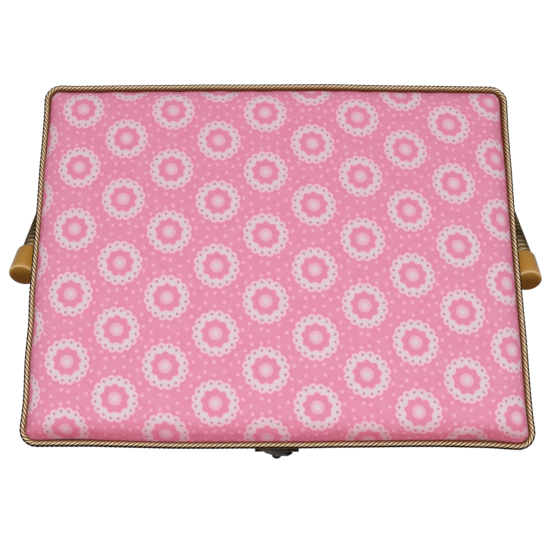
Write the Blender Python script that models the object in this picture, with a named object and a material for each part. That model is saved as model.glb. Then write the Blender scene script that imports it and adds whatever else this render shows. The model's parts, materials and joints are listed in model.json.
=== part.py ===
# Fabric-covered sewing box with a padded hinged lid, a front hasp, a bail handle
# and a lift-out compartment tray.  Objects are in metres, +Z up.
# The origin is the middle of the underside.  The front (hasp) faces -Y, the hinges +Y,
# and left is -X.  Sizes below are millimetres; HX and HY are half sizes, R a radius.
import math

import bmesh
import bpy
from mathutils import Matrix, Vector

for old in list(bpy.data.objects):
    bpy.data.objects.remove(old)

MM = 0.001
GAP = 0.3  # air between separate pieces
SIDES = ((-1, "left"), (1, "right"))

# ---------------------------------------------------------------- driving sizes
BODY_HX, BODY_HY, BODY_R = 143.0, 108.5, 14.0  # outside of the body fabric
COVER_T = 1.5
BOARD_T = 3.0
LINING_T = 1.5
RIM_Z = 128.6

LID_HX, LID_HY, LID_R = 147.5, 112.5, 9.5  # outside of the lid band fabric

HINGE_Y, HINGE_Z, HINGE_R = 115.5, 128.2, 2.5  # lid hinge barrel
HINGE_X = 78.0  # distance of each hinge from the middle
LATCH_Y, LATCH_Z, LATCH_R = -115.2, 129.8, 2.2  # hasp barrel
LEAF_T = 1.0  # hinge leaves and latch plates
PIN_PLAY = 0.25  # bore radius over pin radius
OVERLAP = 0.02  # keeps the faces of a tongue inside those of its plate

PIVOT_X, PIVOT_Z = 162.0, 118.0  # middle of a handle cap, on the handle's axis
HANDLE_REST = 33.0  # degrees below level, behind the box
PIVOT_BORE_R = 2.35  # through washers, spacers and caps

TRAY_Z0, TRAY_Z1 = 75.8, 111.8

# ---------------------------------------------------------------- materials


def material(name, colour, roughness, metallic=0.0):
    mat = bpy.data.materials.new(name)
    mat.use_nodes = True
    shader = next(n for n in mat.node_tree.nodes if n.type == "BSDF_PRINCIPLED")
    shader.inputs["Base Color"].default_value = (*colour, 1.0)
    shader.inputs["Roughness"].default_value = roughness
    shader.inputs["Metallic"].default_value = metallic
    mat.diffuse_color = (*colour, 1.0)
    mat.roughness = roughness
    mat.metallic = metallic
    return mat


cotton = material("printed_cotton", colour=(0.82, 0.25, 0.38), roughness=0.85)
greyboard = material("greyboard", colour=(0.52, 0.42, 0.30), roughness=0.9)
satin = material("satin_lining", colour=(0.86, 0.62, 0.68), roughness=0.45)
cord = material("twisted_cord", colour=(0.33, 0.16, 0.05), roughness=0.55)
bronze = material(
    "antique_bronze", colour=(0.09, 0.065, 0.045), roughness=0.4, metallic=0.9
)
steel = material("plated_steel", colour=(0.55, 0.55, 0.56), roughness=0.35, metallic=1.0)
tan_plastic = material("tan_plastic", colour=(0.62, 0.36, 0.16), roughness=0.25)
tray_plastic = material("tray_plastic", colour=(0.86, 0.84, 0.80), roughness=0.4)
foam = material("foam_pad", colour=(0.85, 0.83, 0.76), roughness=0.95)

# ---------------------------------------------------------------- pivots


def pivot(name, y, z, tilt=0.0):
    """An empty on the middle plane, tilted about X by some degrees."""
    empty = bpy.data.objects.new(name, None)
    empty.location = (0, y * MM, z * MM)
    empty.rotation_euler = (math.radians(tilt), 0, 0)
    bpy.context.scene.collection.objects.link(empty)
    return empty


pivot_lid = pivot("pivot_lid", HINGE_Y, HINGE_Z)
pivot_latch = pivot("pivot_latch", LATCH_Y, LATCH_Z)
pivot_handle = pivot("pivot_handle", 0, PIVOT_Z, -HANDLE_REST)
pivot_tray = pivot("pivot_tray", 0, TRAY_Z0)

# ---------------------------------------------------------------- objects and modifiers


def mesh_object(mesh, name, parent):
    """A bmesh in millimetres becomes one named object in metres."""
    bmesh.ops.recalc_face_normals(mesh, faces=mesh.faces)
    bmesh.ops.scale(mesh, vec=(MM, MM, MM), verts=mesh.verts)
    data = bpy.data.meshes.new(name)
    mesh.to_mesh(data)
    mesh.free()
    ob = bpy.data.objects.new(name, data)
    bpy.context.scene.collection.objects.link(ob)
    ob.parent = parent
    return ob


def piece(mesh, name, mat, parent=None, smooth=30.0):
    """A visible piece; edges sharper than `smooth` degrees stay sharp."""
    ob = mesh_object(mesh, name, parent)
    ob.data.shade_smooth()
    ob.data.set_sharp_from_angle(angle=math.radians(smooth))
    ob.data.materials.append(mat)
    return ob


def helper(mesh, name, parent=None):
    """A hidden shape for a boolean to add or cut."""
    ob = mesh_object(mesh, name, parent)
    ob.hide_render = True
    ob.display_type = "WIRE"
    return ob


def boolean(ob, operation, helpers):
    for other in helpers:
        mod = ob.modifiers.new(operation.lower(), "BOOLEAN")
        mod.operation = operation
        mod.object = other
        mod.solver = "EXACT"


def add(ob, *helpers):
    boolean(ob, "UNION", helpers)


def cut(ob, *helpers):
    boolean(ob, "DIFFERENCE", helpers)


def moved(mesh, x=0.0, y=0.0, z=0.0):
    bmesh.ops.translate(mesh, vec=(x, y, z), verts=mesh.verts)
    return mesh


def about_hinge(mesh):
    return moved(mesh, y=-HINGE_Y, z=-HINGE_Z)


def lid_piece(mesh, name, mat, smooth=30.0):
    """A lid piece drawn in box coordinates, stored about the hinge axis."""
    return piece(about_hinge(mesh), name, mat, pivot_lid, smooth)


# ---------------------------------------------------------------- outlines


def rrect(half_x, half_y, radius, steps=4, middle=(0.0, 0.0)):
    """Points of a rounded rectangle, anticlockwise, `steps` segments to a corner."""
    points = []
    for corner_x, corner_y, start in (
        (half_x - radius, half_y - radius, 0),
        (-half_x + radius, half_y - radius, 90),
        (-half_x + radius, -half_y + radius, 180),
        (half_x - radius, -half_y + radius, 270),
    ):
        for k in range(steps + 1):
            angle = math.radians(start + 90.0 * k / steps)
            x = corner_x + radius * math.cos(angle)
            y = corner_y + radius * math.sin(angle)
            points.append((x + middle[0], y + middle[1]))
    return points


def body_outline(inset):
    return rrect(BODY_HX - inset, BODY_HY - inset, BODY_R - inset)


def lid_outline(inset, steps=4):
    return rrect(LID_HX - inset, LID_HY - inset, LID_R - inset, steps)


def heading(line, i):
    """Unit direction of a flat open line at point i, from its neighbours."""
    before = line[max(i - 1, 0)]
    after = line[min(i + 1, len(line) - 1)]
    du, dv = after[0] - before[0], after[1] - before[1]
    length = math.hypot(du, dv)
    return du / length, dv / length


# ---------------------------------------------------------------- solids
# Each adds a shape in millimetres to a bmesh and returns that bmesh.


def loop(mesh, points, z):
    return [mesh.verts.new((x, y, z)) for x, y in points]


def skin(mesh, a, b):
    for i in range(len(a)):
        j = (i + 1) % len(a)
        mesh.faces.new((a[i], a[j], b[j], b[i]))


def stack(mesh, loops, capped=True):
    for a, b in zip(loops, loops[1:]):
        skin(mesh, a, b)
    if capped:
        mesh.faces.new(list(reversed(loops[0])))
        mesh.faces.new(loops[-1])
    return mesh


def prism(mesh, outline, z0, z1):
    return stack(mesh, [loop(mesh, outline, z) for z in (z0, z1)])


def box(mesh, low, high):
    (x0, y0, z0), (x1, y1, z1) = low, high
    return prism(mesh, [(x0, y0), (x1, y0), (x1, y1), (x0, y1)], z0, z1)


def ring(mesh, outer, inner, z0, z1):
    stations = ((outer, z0), (outer, z1), (inner, z1), (inner, z0))
    loops = [loop(mesh, outline, z) for outline, z in stations]
    stack(mesh, loops, capped=False)
    skin(mesh, loops[-1], loops[0])
    return mesh


def tub(mesh, outer, inner, z0, floor, z1):
    stations = ((outer, z0), (outer, z1), (inner, z1), (inner, z0 + floor))
    return stack(mesh, [loop(mesh, outline, z) for outline, z in stations])


def tube_frames(path, closed=False):
    """A frame (side, up) at each path point, turned as little as possible.

    The path must not start along Z."""
    count = len(path)
    tangents = []
    for i in range(count):
        if closed:
            tangent = path[(i + 1) % count] - path[i - 1]
        else:
            tangent = path[min(i + 1, count - 1)] - path[max(i - 1, 0)]
        tangents.append(tangent.normalized())
    side = tangents[0].cross(Vector((0, 0, 1))).normalized()
    frames = []
    for tangent in tangents:
        side = (side - tangent * side.dot(tangent)).normalized()
        frames.append((side, side.cross(tangent).normalized()))
    return frames


def circle(mesh, centre, frame, radius, count):
    side, up = frame
    verts = []
    for k in range(count):
        angle = 2 * math.pi * k / count
        offset = side * radius * math.cos(angle) + up * radius * math.sin(angle)
        verts.append(mesh.verts.new(centre + offset))
    return verts


def sweep(mesh, path, radius, count=8, closed=False):
    path = [Vector(point) for point in path]
    frames = tube_frames(path, closed)
    rings = [circle(mesh, p, frame, radius, count) for p, frame in zip(path, frames)]
    stack(mesh, rings, capped=not closed)
    if closed:
        skin(mesh, rings[-1], rings[0])
    return mesh


def hollow_sweep(mesh, path, outer_r, inner_r, count):
    """A tube along an open path, with a bore from end to end."""
    path = [Vector(point) for point in path]
    outer, inner = [], []
    for point, frame in zip(path, tube_frames(path)):
        outer.append(circle(mesh, point, frame, outer_r, count))
        inner.append(circle(mesh, point, frame, inner_r, count))
    stack(mesh, outer, capped=False)
    for a, b in zip(inner, inner[1:]):
        skin(mesh, b, a)
    skin(mesh, inner[0], outer[0])
    skin(mesh, outer[-1], inner[-1])
    return mesh


def x_rod(mesh, x0, x1, y, z, radius, count=16):
    return sweep(mesh, [(x0, y, z), (x1, y, z)], radius, count)


def turned(mesh, profile, count):
    """A profile of (radius, height) turned round the Z axis, closed at both ends."""
    rings = []
    for radius, z in profile:
        angles = [2 * math.pi * k / count for k in range(count)]
        points = [(radius * math.cos(a), radius * math.sin(a)) for a in angles]
        rings.append(loop(mesh, points, z))
    return stack(mesh, rings)


def strip(mesh, stations, thick, middle_x=0.0):
    """A bent strip of metal through stations of (y, z, half width in x)."""
    sections = []
    for i, (y, z, half) in enumerate(stations):
        ty, tz = heading(stations, i)
        ny, nz = -tz * thick / 2, ty * thick / 2
        sections.append(
            [
                mesh.verts.new((middle_x + x, y + face * ny, z + face * nz))
                for face in (1, -1)
                for x in (-half, half)
            ]
        )
    for a, b in zip(sections, sections[1:]):
        mesh.faces.new((a[0], a[1], b[1], b[0]))
        mesh.faces.new((a[3], a[2], b[2], b[3]))
        mesh.faces.new((a[0], b[0], b[2], a[2]))
        mesh.faces.new((a[1], a[3], b[3], b[1]))
    first, last = sections[0], sections[-1]
    mesh.faces.new([first[k] for k in (1, 0, 2, 3)])
    mesh.faces.new([last[k] for k in (0, 1, 3, 2)])
    return mesh


# ---------------------------------------------------------------- nails and their holes
NAIL_SHANK, NAIL_R = 4.5, 0.5
NAIL_HOLE_R, NAIL_HOLE_HALF = 0.8, 6.0
HINGE_HEAD_R, LATCH_HEAD_R = 1.25, 1.1

# (x, z) of each nail
HINGE_NAIL_X = [s * HINGE_X + dx for s in (-1, 1) for dx in (-11, 11)]
BACK_BODY_NAILS = [(x, 116.0) for x in HINGE_NAIL_X]
BACK_LID_NAILS = [(x, 135.2) for x in HINGE_NAIL_X]
FRONT_LID_NAILS = [(-10.5, 136.4), (10.5, 136.4)]
FRONT_BODY_NAILS = [(-7.0, 111.5), (7.0, 111.5)]


def nails(name, spots, plate_y, out, head_r, make_piece):
    """Domed nails with heads on the plate face at `plate_y`; `out` is the sign of y."""
    profile = (
        (NAIL_R, -NAIL_SHANK),
        (NAIL_R, 0.15),
        (head_r, 0.15),
        (head_r * 0.92, 0.5),
        (head_r * 0.55, 0.8),
    )
    turn = Vector((0, 0, 1)).rotation_difference(Vector((0, out, 0)))
    for k, (x, z) in enumerate(spots, 1):
        mesh = turned(bmesh.new(), profile, 8)
        place = Matrix.Translation((x, plate_y, z)) @ turn.to_matrix().to_4x4()
        bmesh.ops.transform(mesh, matrix=place, verts=mesh.verts)
        make_piece(mesh, f"{name}_{k}", bronze, smooth=60)


def nail_holes(spots, y):
    mesh = bmesh.new()
    for x, z in spots:
        ends = [(x, y - NAIL_HOLE_HALF, z), (x, y + NAIL_HOLE_HALF, z)]
        sweep(mesh, ends, NAIL_HOLE_R, 8)
    return mesh


body_back_holes = helper(nail_holes(BACK_BODY_NAILS, BODY_HY), "cut_body_back")
body_front_holes = helper(nail_holes(FRONT_BODY_NAILS, -BODY_HY), "cut_body_front")
lid_back_holes = helper(
    about_hinge(nail_holes(BACK_LID_NAILS, LID_HY)), "cut_lid_back", pivot_lid
)
lid_front_holes = helper(
    about_hinge(nail_holes(FRONT_LID_NAILS, -LID_HY)), "cut_lid_front", pivot_lid
)

# ---------------------------------------------------------------- the box body
BASE_COVER_T, BASE_COVER_INSET = 1.0, 2.0
SHELL_INSET = COVER_T + GAP
LINING_INSET = SHELL_INSET + BOARD_T + GAP
WALL_Z0 = BASE_COVER_T + GAP
LINING_Z0 = WALL_Z0 + BOARD_T + GAP
LINING_FLOOR_T = 1.2
INSIDE_X = BODY_HX - LINING_INSET - LINING_T - GAP  # just clear of the side lining
BASE_CORD_R, BASE_CORD_Z = 1.75, 2.5
LEDGE_X, LEDGE_HY = 128.0, 92.0  # inner edge and half length
LEDGE_TOP = TRAY_Z0 - GAP

mesh = bmesh.new()
for s, _ in SIDES:
    x_rod(mesh, s * 130, s * 150, 0, PIVOT_Z, 2.4)
bolt_holes = helper(mesh, "cut_bolts")

mesh = prism(bmesh.new(), body_outline(BASE_COVER_INSET), 0.0, BASE_COVER_T)
piece(mesh, "base_cover", cotton)

mesh = prism(bmesh.new(), body_outline(LINING_INSET), WALL_Z0, WALL_Z0 + BOARD_T)
piece(mesh, "base_board", greyboard)

# board walls
mesh = ring(
    bmesh.new(),
    body_outline(SHELL_INSET),
    body_outline(SHELL_INSET + BOARD_T),
    WALL_Z0,
    RIM_Z - GAP,
)
shell = piece(mesh, "body_shell", greyboard)
cut(shell, bolt_holes, body_back_holes, body_front_holes)

# fabric round the walls
mesh = ring(bmesh.new(), body_outline(0), body_outline(COVER_T), WALL_Z0, RIM_Z)
cover = piece(mesh, "body_cover", cotton)
cut(cover, bolt_holes, body_back_holes, body_front_holes)

mesh = tub(
    bmesh.new(),
    body_outline(LINING_INSET),
    body_outline(LINING_INSET + LINING_T),
    LINING_Z0,
    LINING_FLOOR_T,
    RIM_Z - 2 * GAP,
)
lining = piece(mesh, "body_lining", satin)
cut(lining, bolt_holes)

path = [(x, y, BASE_CORD_Z) for x, y in body_outline(-(BASE_CORD_R + GAP))]
piece(sweep(bmesh.new(), path, BASE_CORD_R, closed=True), "base_cord", cord, smooth=60)

for s, side in SIDES:
    x0, x1 = sorted((s * LEDGE_X, s * INSIDE_X))
    low = (x0, -LEDGE_HY, LEDGE_TOP - BOARD_T)
    mesh = box(bmesh.new(), low, (x1, LEDGE_HY, LEDGE_TOP))
    piece(mesh, "tray_ledge_" + side, greyboard)

# ---------------------------------------------------------------- handle pivots
BOLT_HEAD_R, BOLT_HEAD_X = 4.0, 133.0
BOLT_R, SHANK_X0, SHANK_X1 = 2.0, 134.0, 166.0
WASHER_R, WASHER_T = 5.5, 0.9
SPACER_R, SPACER_X1 = 4.5, 153.1


def pivot_tube(s, x0, x1, radius):
    ends = [(s * x0, 0, PIVOT_Z), (s * x1, 0, PIVOT_Z)]
    return hollow_sweep(bmesh.new(), ends, radius, PIVOT_BORE_R, 16)


for s, side in SIDES:
    washer_x = INSIDE_X - WASHER_T
    head_x = washer_x - GAP
    mesh = x_rod(bmesh.new(), s * BOLT_HEAD_X, s * head_x, 0, PIVOT_Z, BOLT_HEAD_R)
    bolt = piece(mesh, "pivot_bolt_" + side, steel)
    mesh = x_rod(bmesh.new(), s * SHANK_X0, s * SHANK_X1, 0, PIVOT_Z, BOLT_R)
    add(bolt, helper(mesh, "add_shank_" + side))

    mesh = pivot_tube(s, washer_x, INSIDE_X, WASHER_R)
    piece(mesh, "pivot_washer_" + side, steel)
    mesh = pivot_tube(s, BODY_HX + GAP, SPACER_X1, SPACER_R)
    piece(mesh, "pivot_spacer_" + side, bronze)

# ---------------------------------------------------------------- the lid
BAND_T, BAND_Z0, BAND_Z1 = 1.3, 129.2, 138.9
FRAME_INSET, FRAME_Z1 = BAND_T + GAP, 138.0
LID_BOARD_HX, LID_BOARD_HY, LID_BOARD_R = 143.6, 108.6, 5.5
LID_BOARD_Z0 = FRAME_Z1 + GAP
LID_BOARD_Z1 = LID_BOARD_Z0 + BOARD_T
LID_LINING_GAP = 0.5  # round the edge of the lid lining
LID_LINING_Z0, LID_LINING_T = 133.0, 1.6
UNDER_LINING_Z = LID_LINING_Z0 - GAP
LID_CORD_R, LID_CORD_Z, LID_CORD_OUTSET = 2.3, 142.0, 0.2
DOME_HX, DOME_HY, DOME_R = 145.05, 110.05, 7.0  # foot of the padded top
DOME_MIN_R = 1.5
DOME_COVER_T = 1.0
PAD_INSET, PAD_FOOT_INSET = 1.4, 1.45
POCKET_HX, POCKET_HY, POCKET_Y, POCKET_Z0 = 126.0, 40.0, 61.0, 129.2
ELASTIC_Y, ELASTIC_Z, ELASTIC_R = 18.2, 130.9, 1.7
CUSHION_HX, CUSHION_HY, CUSHION_R, CUSHION_Y = 44.0, 26.0, 12.0, -58.0
CUSHION_MIN_R = 3.0

# (inset from the foot, z), rising to a flat crown
DOME = (
    (0.0, 138.6), (0.0, 142.4), (0.9, 144.7), (3.2, 146.6),
    (7.5, 147.9), (16.0, 148.6), (38.0, 149.2), (66.0, 149.6),
)
# (inset, z), from the flat top down
CUSHION = (
    (0.0, UNDER_LINING_Z), (0.0, 130.6), (1.6, 127.2), (6.0, 124.0), (14.0, 122.3),
)

frame_inner = FRAME_INSET + BOARD_T
mesh = ring(
    bmesh.new(), lid_outline(FRAME_INSET), lid_outline(frame_inner), BAND_Z0, FRAME_Z1
)
frame = piece(about_hinge(mesh), "lid_frame", greyboard, pivot_lid)

mesh = prism(
    bmesh.new(),
    rrect(LID_BOARD_HX, LID_BOARD_HY, LID_BOARD_R),
    LID_BOARD_Z0,
    LID_BOARD_Z1,
)
lid_piece(mesh, "lid_board", greyboard)

# fabric round the frame
mesh = ring(bmesh.new(), lid_outline(0), lid_outline(BAND_T), BAND_Z0, BAND_Z1)
band = lid_piece(mesh, "lid_band_cover", cotton)
for ob in (frame, band):
    cut(ob, lid_back_holes, lid_front_holes)


def inner_dome(foot, inset):
    """The dome profile moved inwards along its normals, with its own foot point."""
    profile = [foot]
    for i, (d, z) in enumerate(DOME[1:], 1):
        td, tz = heading(DOME, i)
        profile.append((d + inset * tz, z - inset * td))
    return profile


def dome_loops(mesh, profile):
    return [
        loop(mesh, rrect(DOME_HX - d, DOME_HY - d, max(DOME_R - d, DOME_MIN_R)), z)
        for d, z in profile
    ]


# padded top: fabric shell, open underneath
mesh = bmesh.new()
outer = dome_loops(mesh, DOME)
inner = dome_loops(mesh, inner_dome((DOME_COVER_T, DOME[0][1]), DOME_COVER_T))
stack(mesh, outer, capped=False)
mesh.faces.new(outer[-1])
for a, b in zip(inner, inner[1:]):
    skin(mesh, b, a)
mesh.faces.new(list(reversed(inner[-1])))
skin(mesh, inner[0], outer[0])
lid_piece(mesh, "lid_cover", cotton, 50)

# foam between the lid board and the fabric shell
mesh = bmesh.new()
foot = (PAD_FOOT_INSET, LID_BOARD_Z1 + GAP)
stack(mesh, dome_loops(mesh, inner_dome(foot, PAD_INSET)))
lid_piece(mesh, "lid_padding", foam, 50)

path = [(x, y, LID_CORD_Z) for x, y in lid_outline(-LID_CORD_OUTSET, 6)]
lid_piece(sweep(bmesh.new(), path, LID_CORD_R, 10, closed=True), "lid_cord", cord, 60)

mesh = prism(
    bmesh.new(),
    lid_outline(frame_inner + LID_LINING_GAP),
    LID_LINING_Z0,
    LID_LINING_Z0 + LID_LINING_T,
)
lid_piece(mesh, "lid_lining", satin)

# pocket on the hinge side of the lining, its mouth towards the front
outline = rrect(POCKET_HX, POCKET_HY, 5.0, 3, (0, POCKET_Y))
lid_piece(prism(bmesh.new(), outline, POCKET_Z0, UNDER_LINING_Z), "lid_pocket", satin)

mesh = x_rod(
    bmesh.new(), -POCKET_HX, POCKET_HX, ELASTIC_Y, ELASTIC_Z, ELASTIC_R, count=8
)
lid_piece(mesh, "pocket_elastic", satin, 60)

# pin cushion hung under the lining, flat side up
mesh = bmesh.new()
loops = []
for d, z in CUSHION:
    radius = max(CUSHION_R - d, CUSHION_MIN_R)
    outline = rrect(CUSHION_HX - d, CUSHION_HY - d, radius, middle=(0, CUSHION_Y))
    loops.append(loop(mesh, outline, z))
lid_piece(stack(mesh, loops), "pin_cushion", cotton, 50)

# ---------------------------------------------------------------- back hinges
HINGE_W = 16.0  # half width of a leaf
HINGE_PIN_R = 1.0
HINGE_PIN_END = 0.4  # pin beyond each end of the barrel
OUTER_KNUCKLE = 6.0  # where the outer knuckles start, from the hinge middle
MIDDLE_KNUCKLE = 5.6  # half length of the lid leaf's knuckle
HINGE_BORE_HALF = 20.0
BODY_LEAF_Y = BODY_HY + GAP
BODY_LEAF_Z = (110.5, 124.0)
LID_LEAF_Y = LID_HY + GAP
LID_LEAF_Z = (131.4, 138.6)
LID_TONGUE_Z = (128.4, 132.5)
ARM_T = LEAF_T * 0.98
# (y, z) from the body leaf out to the barrel
ARM = (
    (BODY_LEAF_Y + 0.5, 122.0),
    (BODY_LEAF_Y + 0.9, 123.9),
    (BODY_LEAF_Y + 3.4, 125.2),
    (HINGE_Y - 1.0, 126.7),
)


def hinge_rod(x0, x1, radius):
    return x_rod(bmesh.new(), x0, x1, HINGE_Y, HINGE_Z, radius)


def body_leaf(middle, side, bore):
    """A plate on the back wall with two arms out to the outer knuckles."""
    mesh = box(
        bmesh.new(),
        (middle - HINGE_W, BODY_LEAF_Y, BODY_LEAF_Z[0]),
        (middle + HINGE_W, BODY_LEAF_Y + LEAF_T, BODY_LEAF_Z[1]),
    )
    leaf = piece(mesh, "hinge_body_leaf_" + side, bronze)
    knuckles, arms = bmesh.new(), bmesh.new()
    for a, b in ((-HINGE_W, -OUTER_KNUCKLE), (OUTER_KNUCKLE, HINGE_W)):
        x_rod(knuckles, middle + a, middle + b, HINGE_Y, HINGE_Z, HINGE_R)
        stations = [(y, z, (b - a) / 2) for y, z in ARM]
        strip(arms, stations, ARM_T, middle + (a + b) / 2)
    add(
        leaf,
        helper(knuckles, "add_body_knuckles_" + side),
        helper(arms, "add_body_arms_" + side),
    )
    cut(leaf, bore, body_back_holes)


def lid_leaf(middle, side, bore):
    """A plate on the lid band with a tongue down to the middle knuckle."""
    mesh = box(
        bmesh.new(),
        (middle - HINGE_W, LID_LEAF_Y, LID_LEAF_Z[0]),
        (middle + HINGE_W, LID_LEAF_Y + LEAF_T, LID_LEAF_Z[1]),
    )
    leaf = lid_piece(mesh, "hinge_lid_leaf_" + side, bronze)
    x0, x1 = middle - MIDDLE_KNUCKLE, middle + MIDDLE_KNUCKLE
    tongue = box(
        bmesh.new(),
        (x0, LID_LEAF_Y + OVERLAP, LID_TONGUE_Z[0]),
        (x1, LID_LEAF_Y + LEAF_T - OVERLAP, LID_TONGUE_Z[1]),
    )
    add(
        leaf,
        helper(hinge_rod(x0, x1, HINGE_R), "add_lid_knuckle_" + side),
        helper(tongue, "add_lid_tongue_" + side),
    )
    cut(leaf, bore, lid_back_holes)


for s, side in SIDES:
    middle = s * HINGE_X
    mesh = hinge_rod(
        middle - HINGE_BORE_HALF, middle + HINGE_BORE_HALF, HINGE_PIN_R + PIN_PLAY
    )
    bore = helper(mesh, "cut_bore_" + side)
    body_leaf(middle, side, bore)
    lid_leaf(middle, side, bore)
    half = HINGE_W + HINGE_PIN_END
    mesh = hinge_rod(middle - half, middle + half, HINGE_PIN_R)
    piece(mesh, "hinge_pin_" + side, bronze)

nails("hinge_body_nail", BACK_BODY_NAILS, BODY_LEAF_Y + LEAF_T, 1, HINGE_HEAD_R, piece)
nails("hinge_lid_nail", BACK_LID_NAILS, LID_LEAF_Y + LEAF_T, 1, HINGE_HEAD_R, lid_piece)

# ---------------------------------------------------------------- front latch
LATCH_PIN_R = 0.9
LATCH_W = 13.0  # half width of the lid plate
LATCH_KNUCKLE = 8.8  # where the plate's knuckles start
HASP_KNUCKLE = 8.5  # half length of the hasp's knuckle
HASP_T = 1.1
LID_PLATE_Y = -LID_HY - GAP  # back faces of the two plates
HOOK_PLATE_Y = -BODY_HY - GAP
HOOK_T = 1.5
# (y, z, half width) down the hasp
HASP = (
    (-115.6, 128.4, 8.4), (-116.6, 125.2, 8.4), (-117.5, 121.4, 8.0),
    (-117.8, 117.0, 7.2), (-118.6, 113.4, 5.4), (-120.6, 110.9, 2.6),
)
# (y, z, half width) out along the hook's tongue
HOOK = ((HOOK_PLATE_Y - 0.3, 117.6, 2.4), (-113.5, 118.0, 2.4), (-119.6, 118.0, 2.0))


def latch_rod(mesh, x0, x1, radius):
    return x_rod(mesh, x0, x1, LATCH_Y, LATCH_Z, radius)


mesh = latch_rod(bmesh.new(), -20, 20, LATCH_PIN_R + PIN_PLAY)
latch_bore = helper(mesh, "cut_latch_bore")

# lid plate: two tongues down to the outer knuckles
mesh = box(
    bmesh.new(),
    (-LATCH_W, LID_PLATE_Y - LEAF_T, 132.4),
    (LATCH_W, LID_PLATE_Y, 139.2),
)
plate = lid_piece(mesh, "latch_lid_plate", bronze)
knuckles, tongues = bmesh.new(), bmesh.new()
for a, b in ((-LATCH_W, -LATCH_KNUCKLE), (LATCH_KNUCKLE, LATCH_W)):
    latch_rod(knuckles, a, b, LATCH_R)
    box(
        tongues,
        (a + OVERLAP, LID_PLATE_Y - LEAF_T + OVERLAP, 129.7),
        (b - OVERLAP, LID_PLATE_Y - OVERLAP, 133.4),
    )
add(
    plate,
    helper(knuckles, "add_plate_knuckles"),
    helper(tongues, "add_plate_tongues"),
)
cut(plate, latch_bore, lid_front_holes)

mesh = latch_rod(bmesh.new(), -LATCH_W - GAP, LATCH_W + GAP, LATCH_PIN_R)
lid_piece(mesh, "latch_pin", bronze)
nails(
    "latch_lid_nail", FRONT_LID_NAILS, LID_PLATE_Y - LEAF_T, -1, LATCH_HEAD_R, lid_piece
)

# hasp: a bent leaf hanging from the pin, with a window for the hook and a finger knob
mesh = moved(strip(bmesh.new(), HASP, HASP_T), y=-LATCH_Y, z=-LATCH_Z)
hasp = piece(mesh, "latch_hasp", bronze, pivot_latch)
knuckle = latch_rod(bmesh.new(), -HASP_KNUCKLE, HASP_KNUCKLE, LATCH_R)
knob = bmesh.new()
bmesh.ops.create_uvsphere(knob, u_segments=12, v_segments=8, radius=2.0)
moved(knob, y=-120.5, z=110.7)
window = box(bmesh.new(), (-3.2, -121.5, 115.6), (3.2, -114.5, 121.2))
add(hasp, helper(knuckle, "add_hasp_knuckle"), helper(knob, "add_hasp_knob"))
cut(hasp, helper(window, "cut_hasp_window"), latch_bore)

# hook plate on the box front, its tongue reaching out through the hasp's window
mesh = box(
    bmesh.new(), (-9.5, HOOK_PLATE_Y - LEAF_T, 108.0), (9.5, HOOK_PLATE_Y, 122.6)
)
hook = piece(mesh, "latch_hook_plate", bronze)
add(hook, helper(strip(bmesh.new(), HOOK, HOOK_T), "add_hook_tongue"))
cut(hook, body_front_holes)
nails("latch_hook_nail", FRONT_BODY_NAILS, HOOK_PLATE_Y - LEAF_T, -1, LATCH_HEAD_R, piece)

# ---------------------------------------------------------------- bail handle
# Drawn flat: x across, y along the legs from the pivot, then tilted by its pivot.
LEG_STRAIGHT = 100.0
LEG_BEND_R, LEG_BEND = 52.0, 78.0  # radius, and degrees turned
BEND_STEPS, CROWN_STEPS = 7, 10
WRAP_R, CORE_R = 6.2, 3.6
CORE_START, SOCKET_START = 4.2, 3.8
CAP_R = 8.5
CAP_Y0, CAP_Y1 = -11.5, 10.8  # ends of a cap along the leg
# (radius, place along the leg)
CAP_PROFILE = (
    (CAP_R - 0.9, CAP_Y0),
    (CAP_R, CAP_Y0 + 0.9),
    (CAP_R, 6.2),
    (CAP_R - 0.7, 8.4),
    (CAP_R - 2.0, CAP_Y1),
)


def bail(start):
    """Centreline of the bail from the right leg round to the left."""
    half = [(PIVOT_X, start)]
    for k in range(BEND_STEPS + 1):
        angle = math.radians(LEG_BEND * k / BEND_STEPS)
        x = PIVOT_X - LEG_BEND_R + LEG_BEND_R * math.cos(angle)
        half.append((x, LEG_STRAIGHT + LEG_BEND_R * math.sin(angle)))
    # the crown is one arc, tangent to both bends
    end_x, end_y = half[-1]
    half_angle = math.radians(90.0 - LEG_BEND)
    crown_r = end_x / math.sin(half_angle)
    crown_y = end_y - crown_r * math.cos(half_angle)
    crown = []
    for k in range(1, CROWN_STEPS):
        angle = half_angle - 2 * half_angle * k / CROWN_STEPS
        crown.append((crown_r * math.sin(angle), crown_y + crown_r * math.cos(angle)))
    path = half + crown + [(-x, y) for x, y in reversed(half)]
    return [(x, y, 0.0) for x, y in path]


mesh = sweep(bmesh.new(), bail(CORE_START), CORE_R, 10)
piece(mesh, "handle_core", steel, pivot_handle, 60)

mesh = hollow_sweep(bmesh.new(), bail(CAP_Y1 + GAP), WRAP_R, CORE_R + GAP, 14)
piece(mesh, "handle_wrap", cord, pivot_handle, 60)

for s, side in SIDES:
    mesh = turned(bmesh.new(), CAP_PROFILE, 24)
    # the turned Z axis becomes the leg direction
    bmesh.ops.rotate(
        mesh,
        verts=mesh.verts,
        cent=(0, 0, 0),
        matrix=Matrix.Rotation(math.radians(-90), 3, "X"),
    )
    moved(mesh, x=s * PIVOT_X)
    cap = piece(mesh, "handle_cap_" + side, tan_plastic, pivot_handle, 40)
    ends = [(s * PIVOT_X, SOCKET_START, 0), (s * PIVOT_X, CAP_Y1 + 2, 0)]
    socket = sweep(bmesh.new(), ends, CORE_R + GAP, 14)
    bore = x_rod(bmesh.new(), s * 151.0, s * 166.6, 0, 0, PIVOT_BORE_R, 20)
    cut(
        cap,
        helper(socket, "cut_socket_" + side, pivot_handle),
        helper(bore, "cut_pivot_" + side, pivot_handle),
    )

# ---------------------------------------------------------------- lid stay cords
STAY_X, STAY_R = 134.6, 1.0
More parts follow.
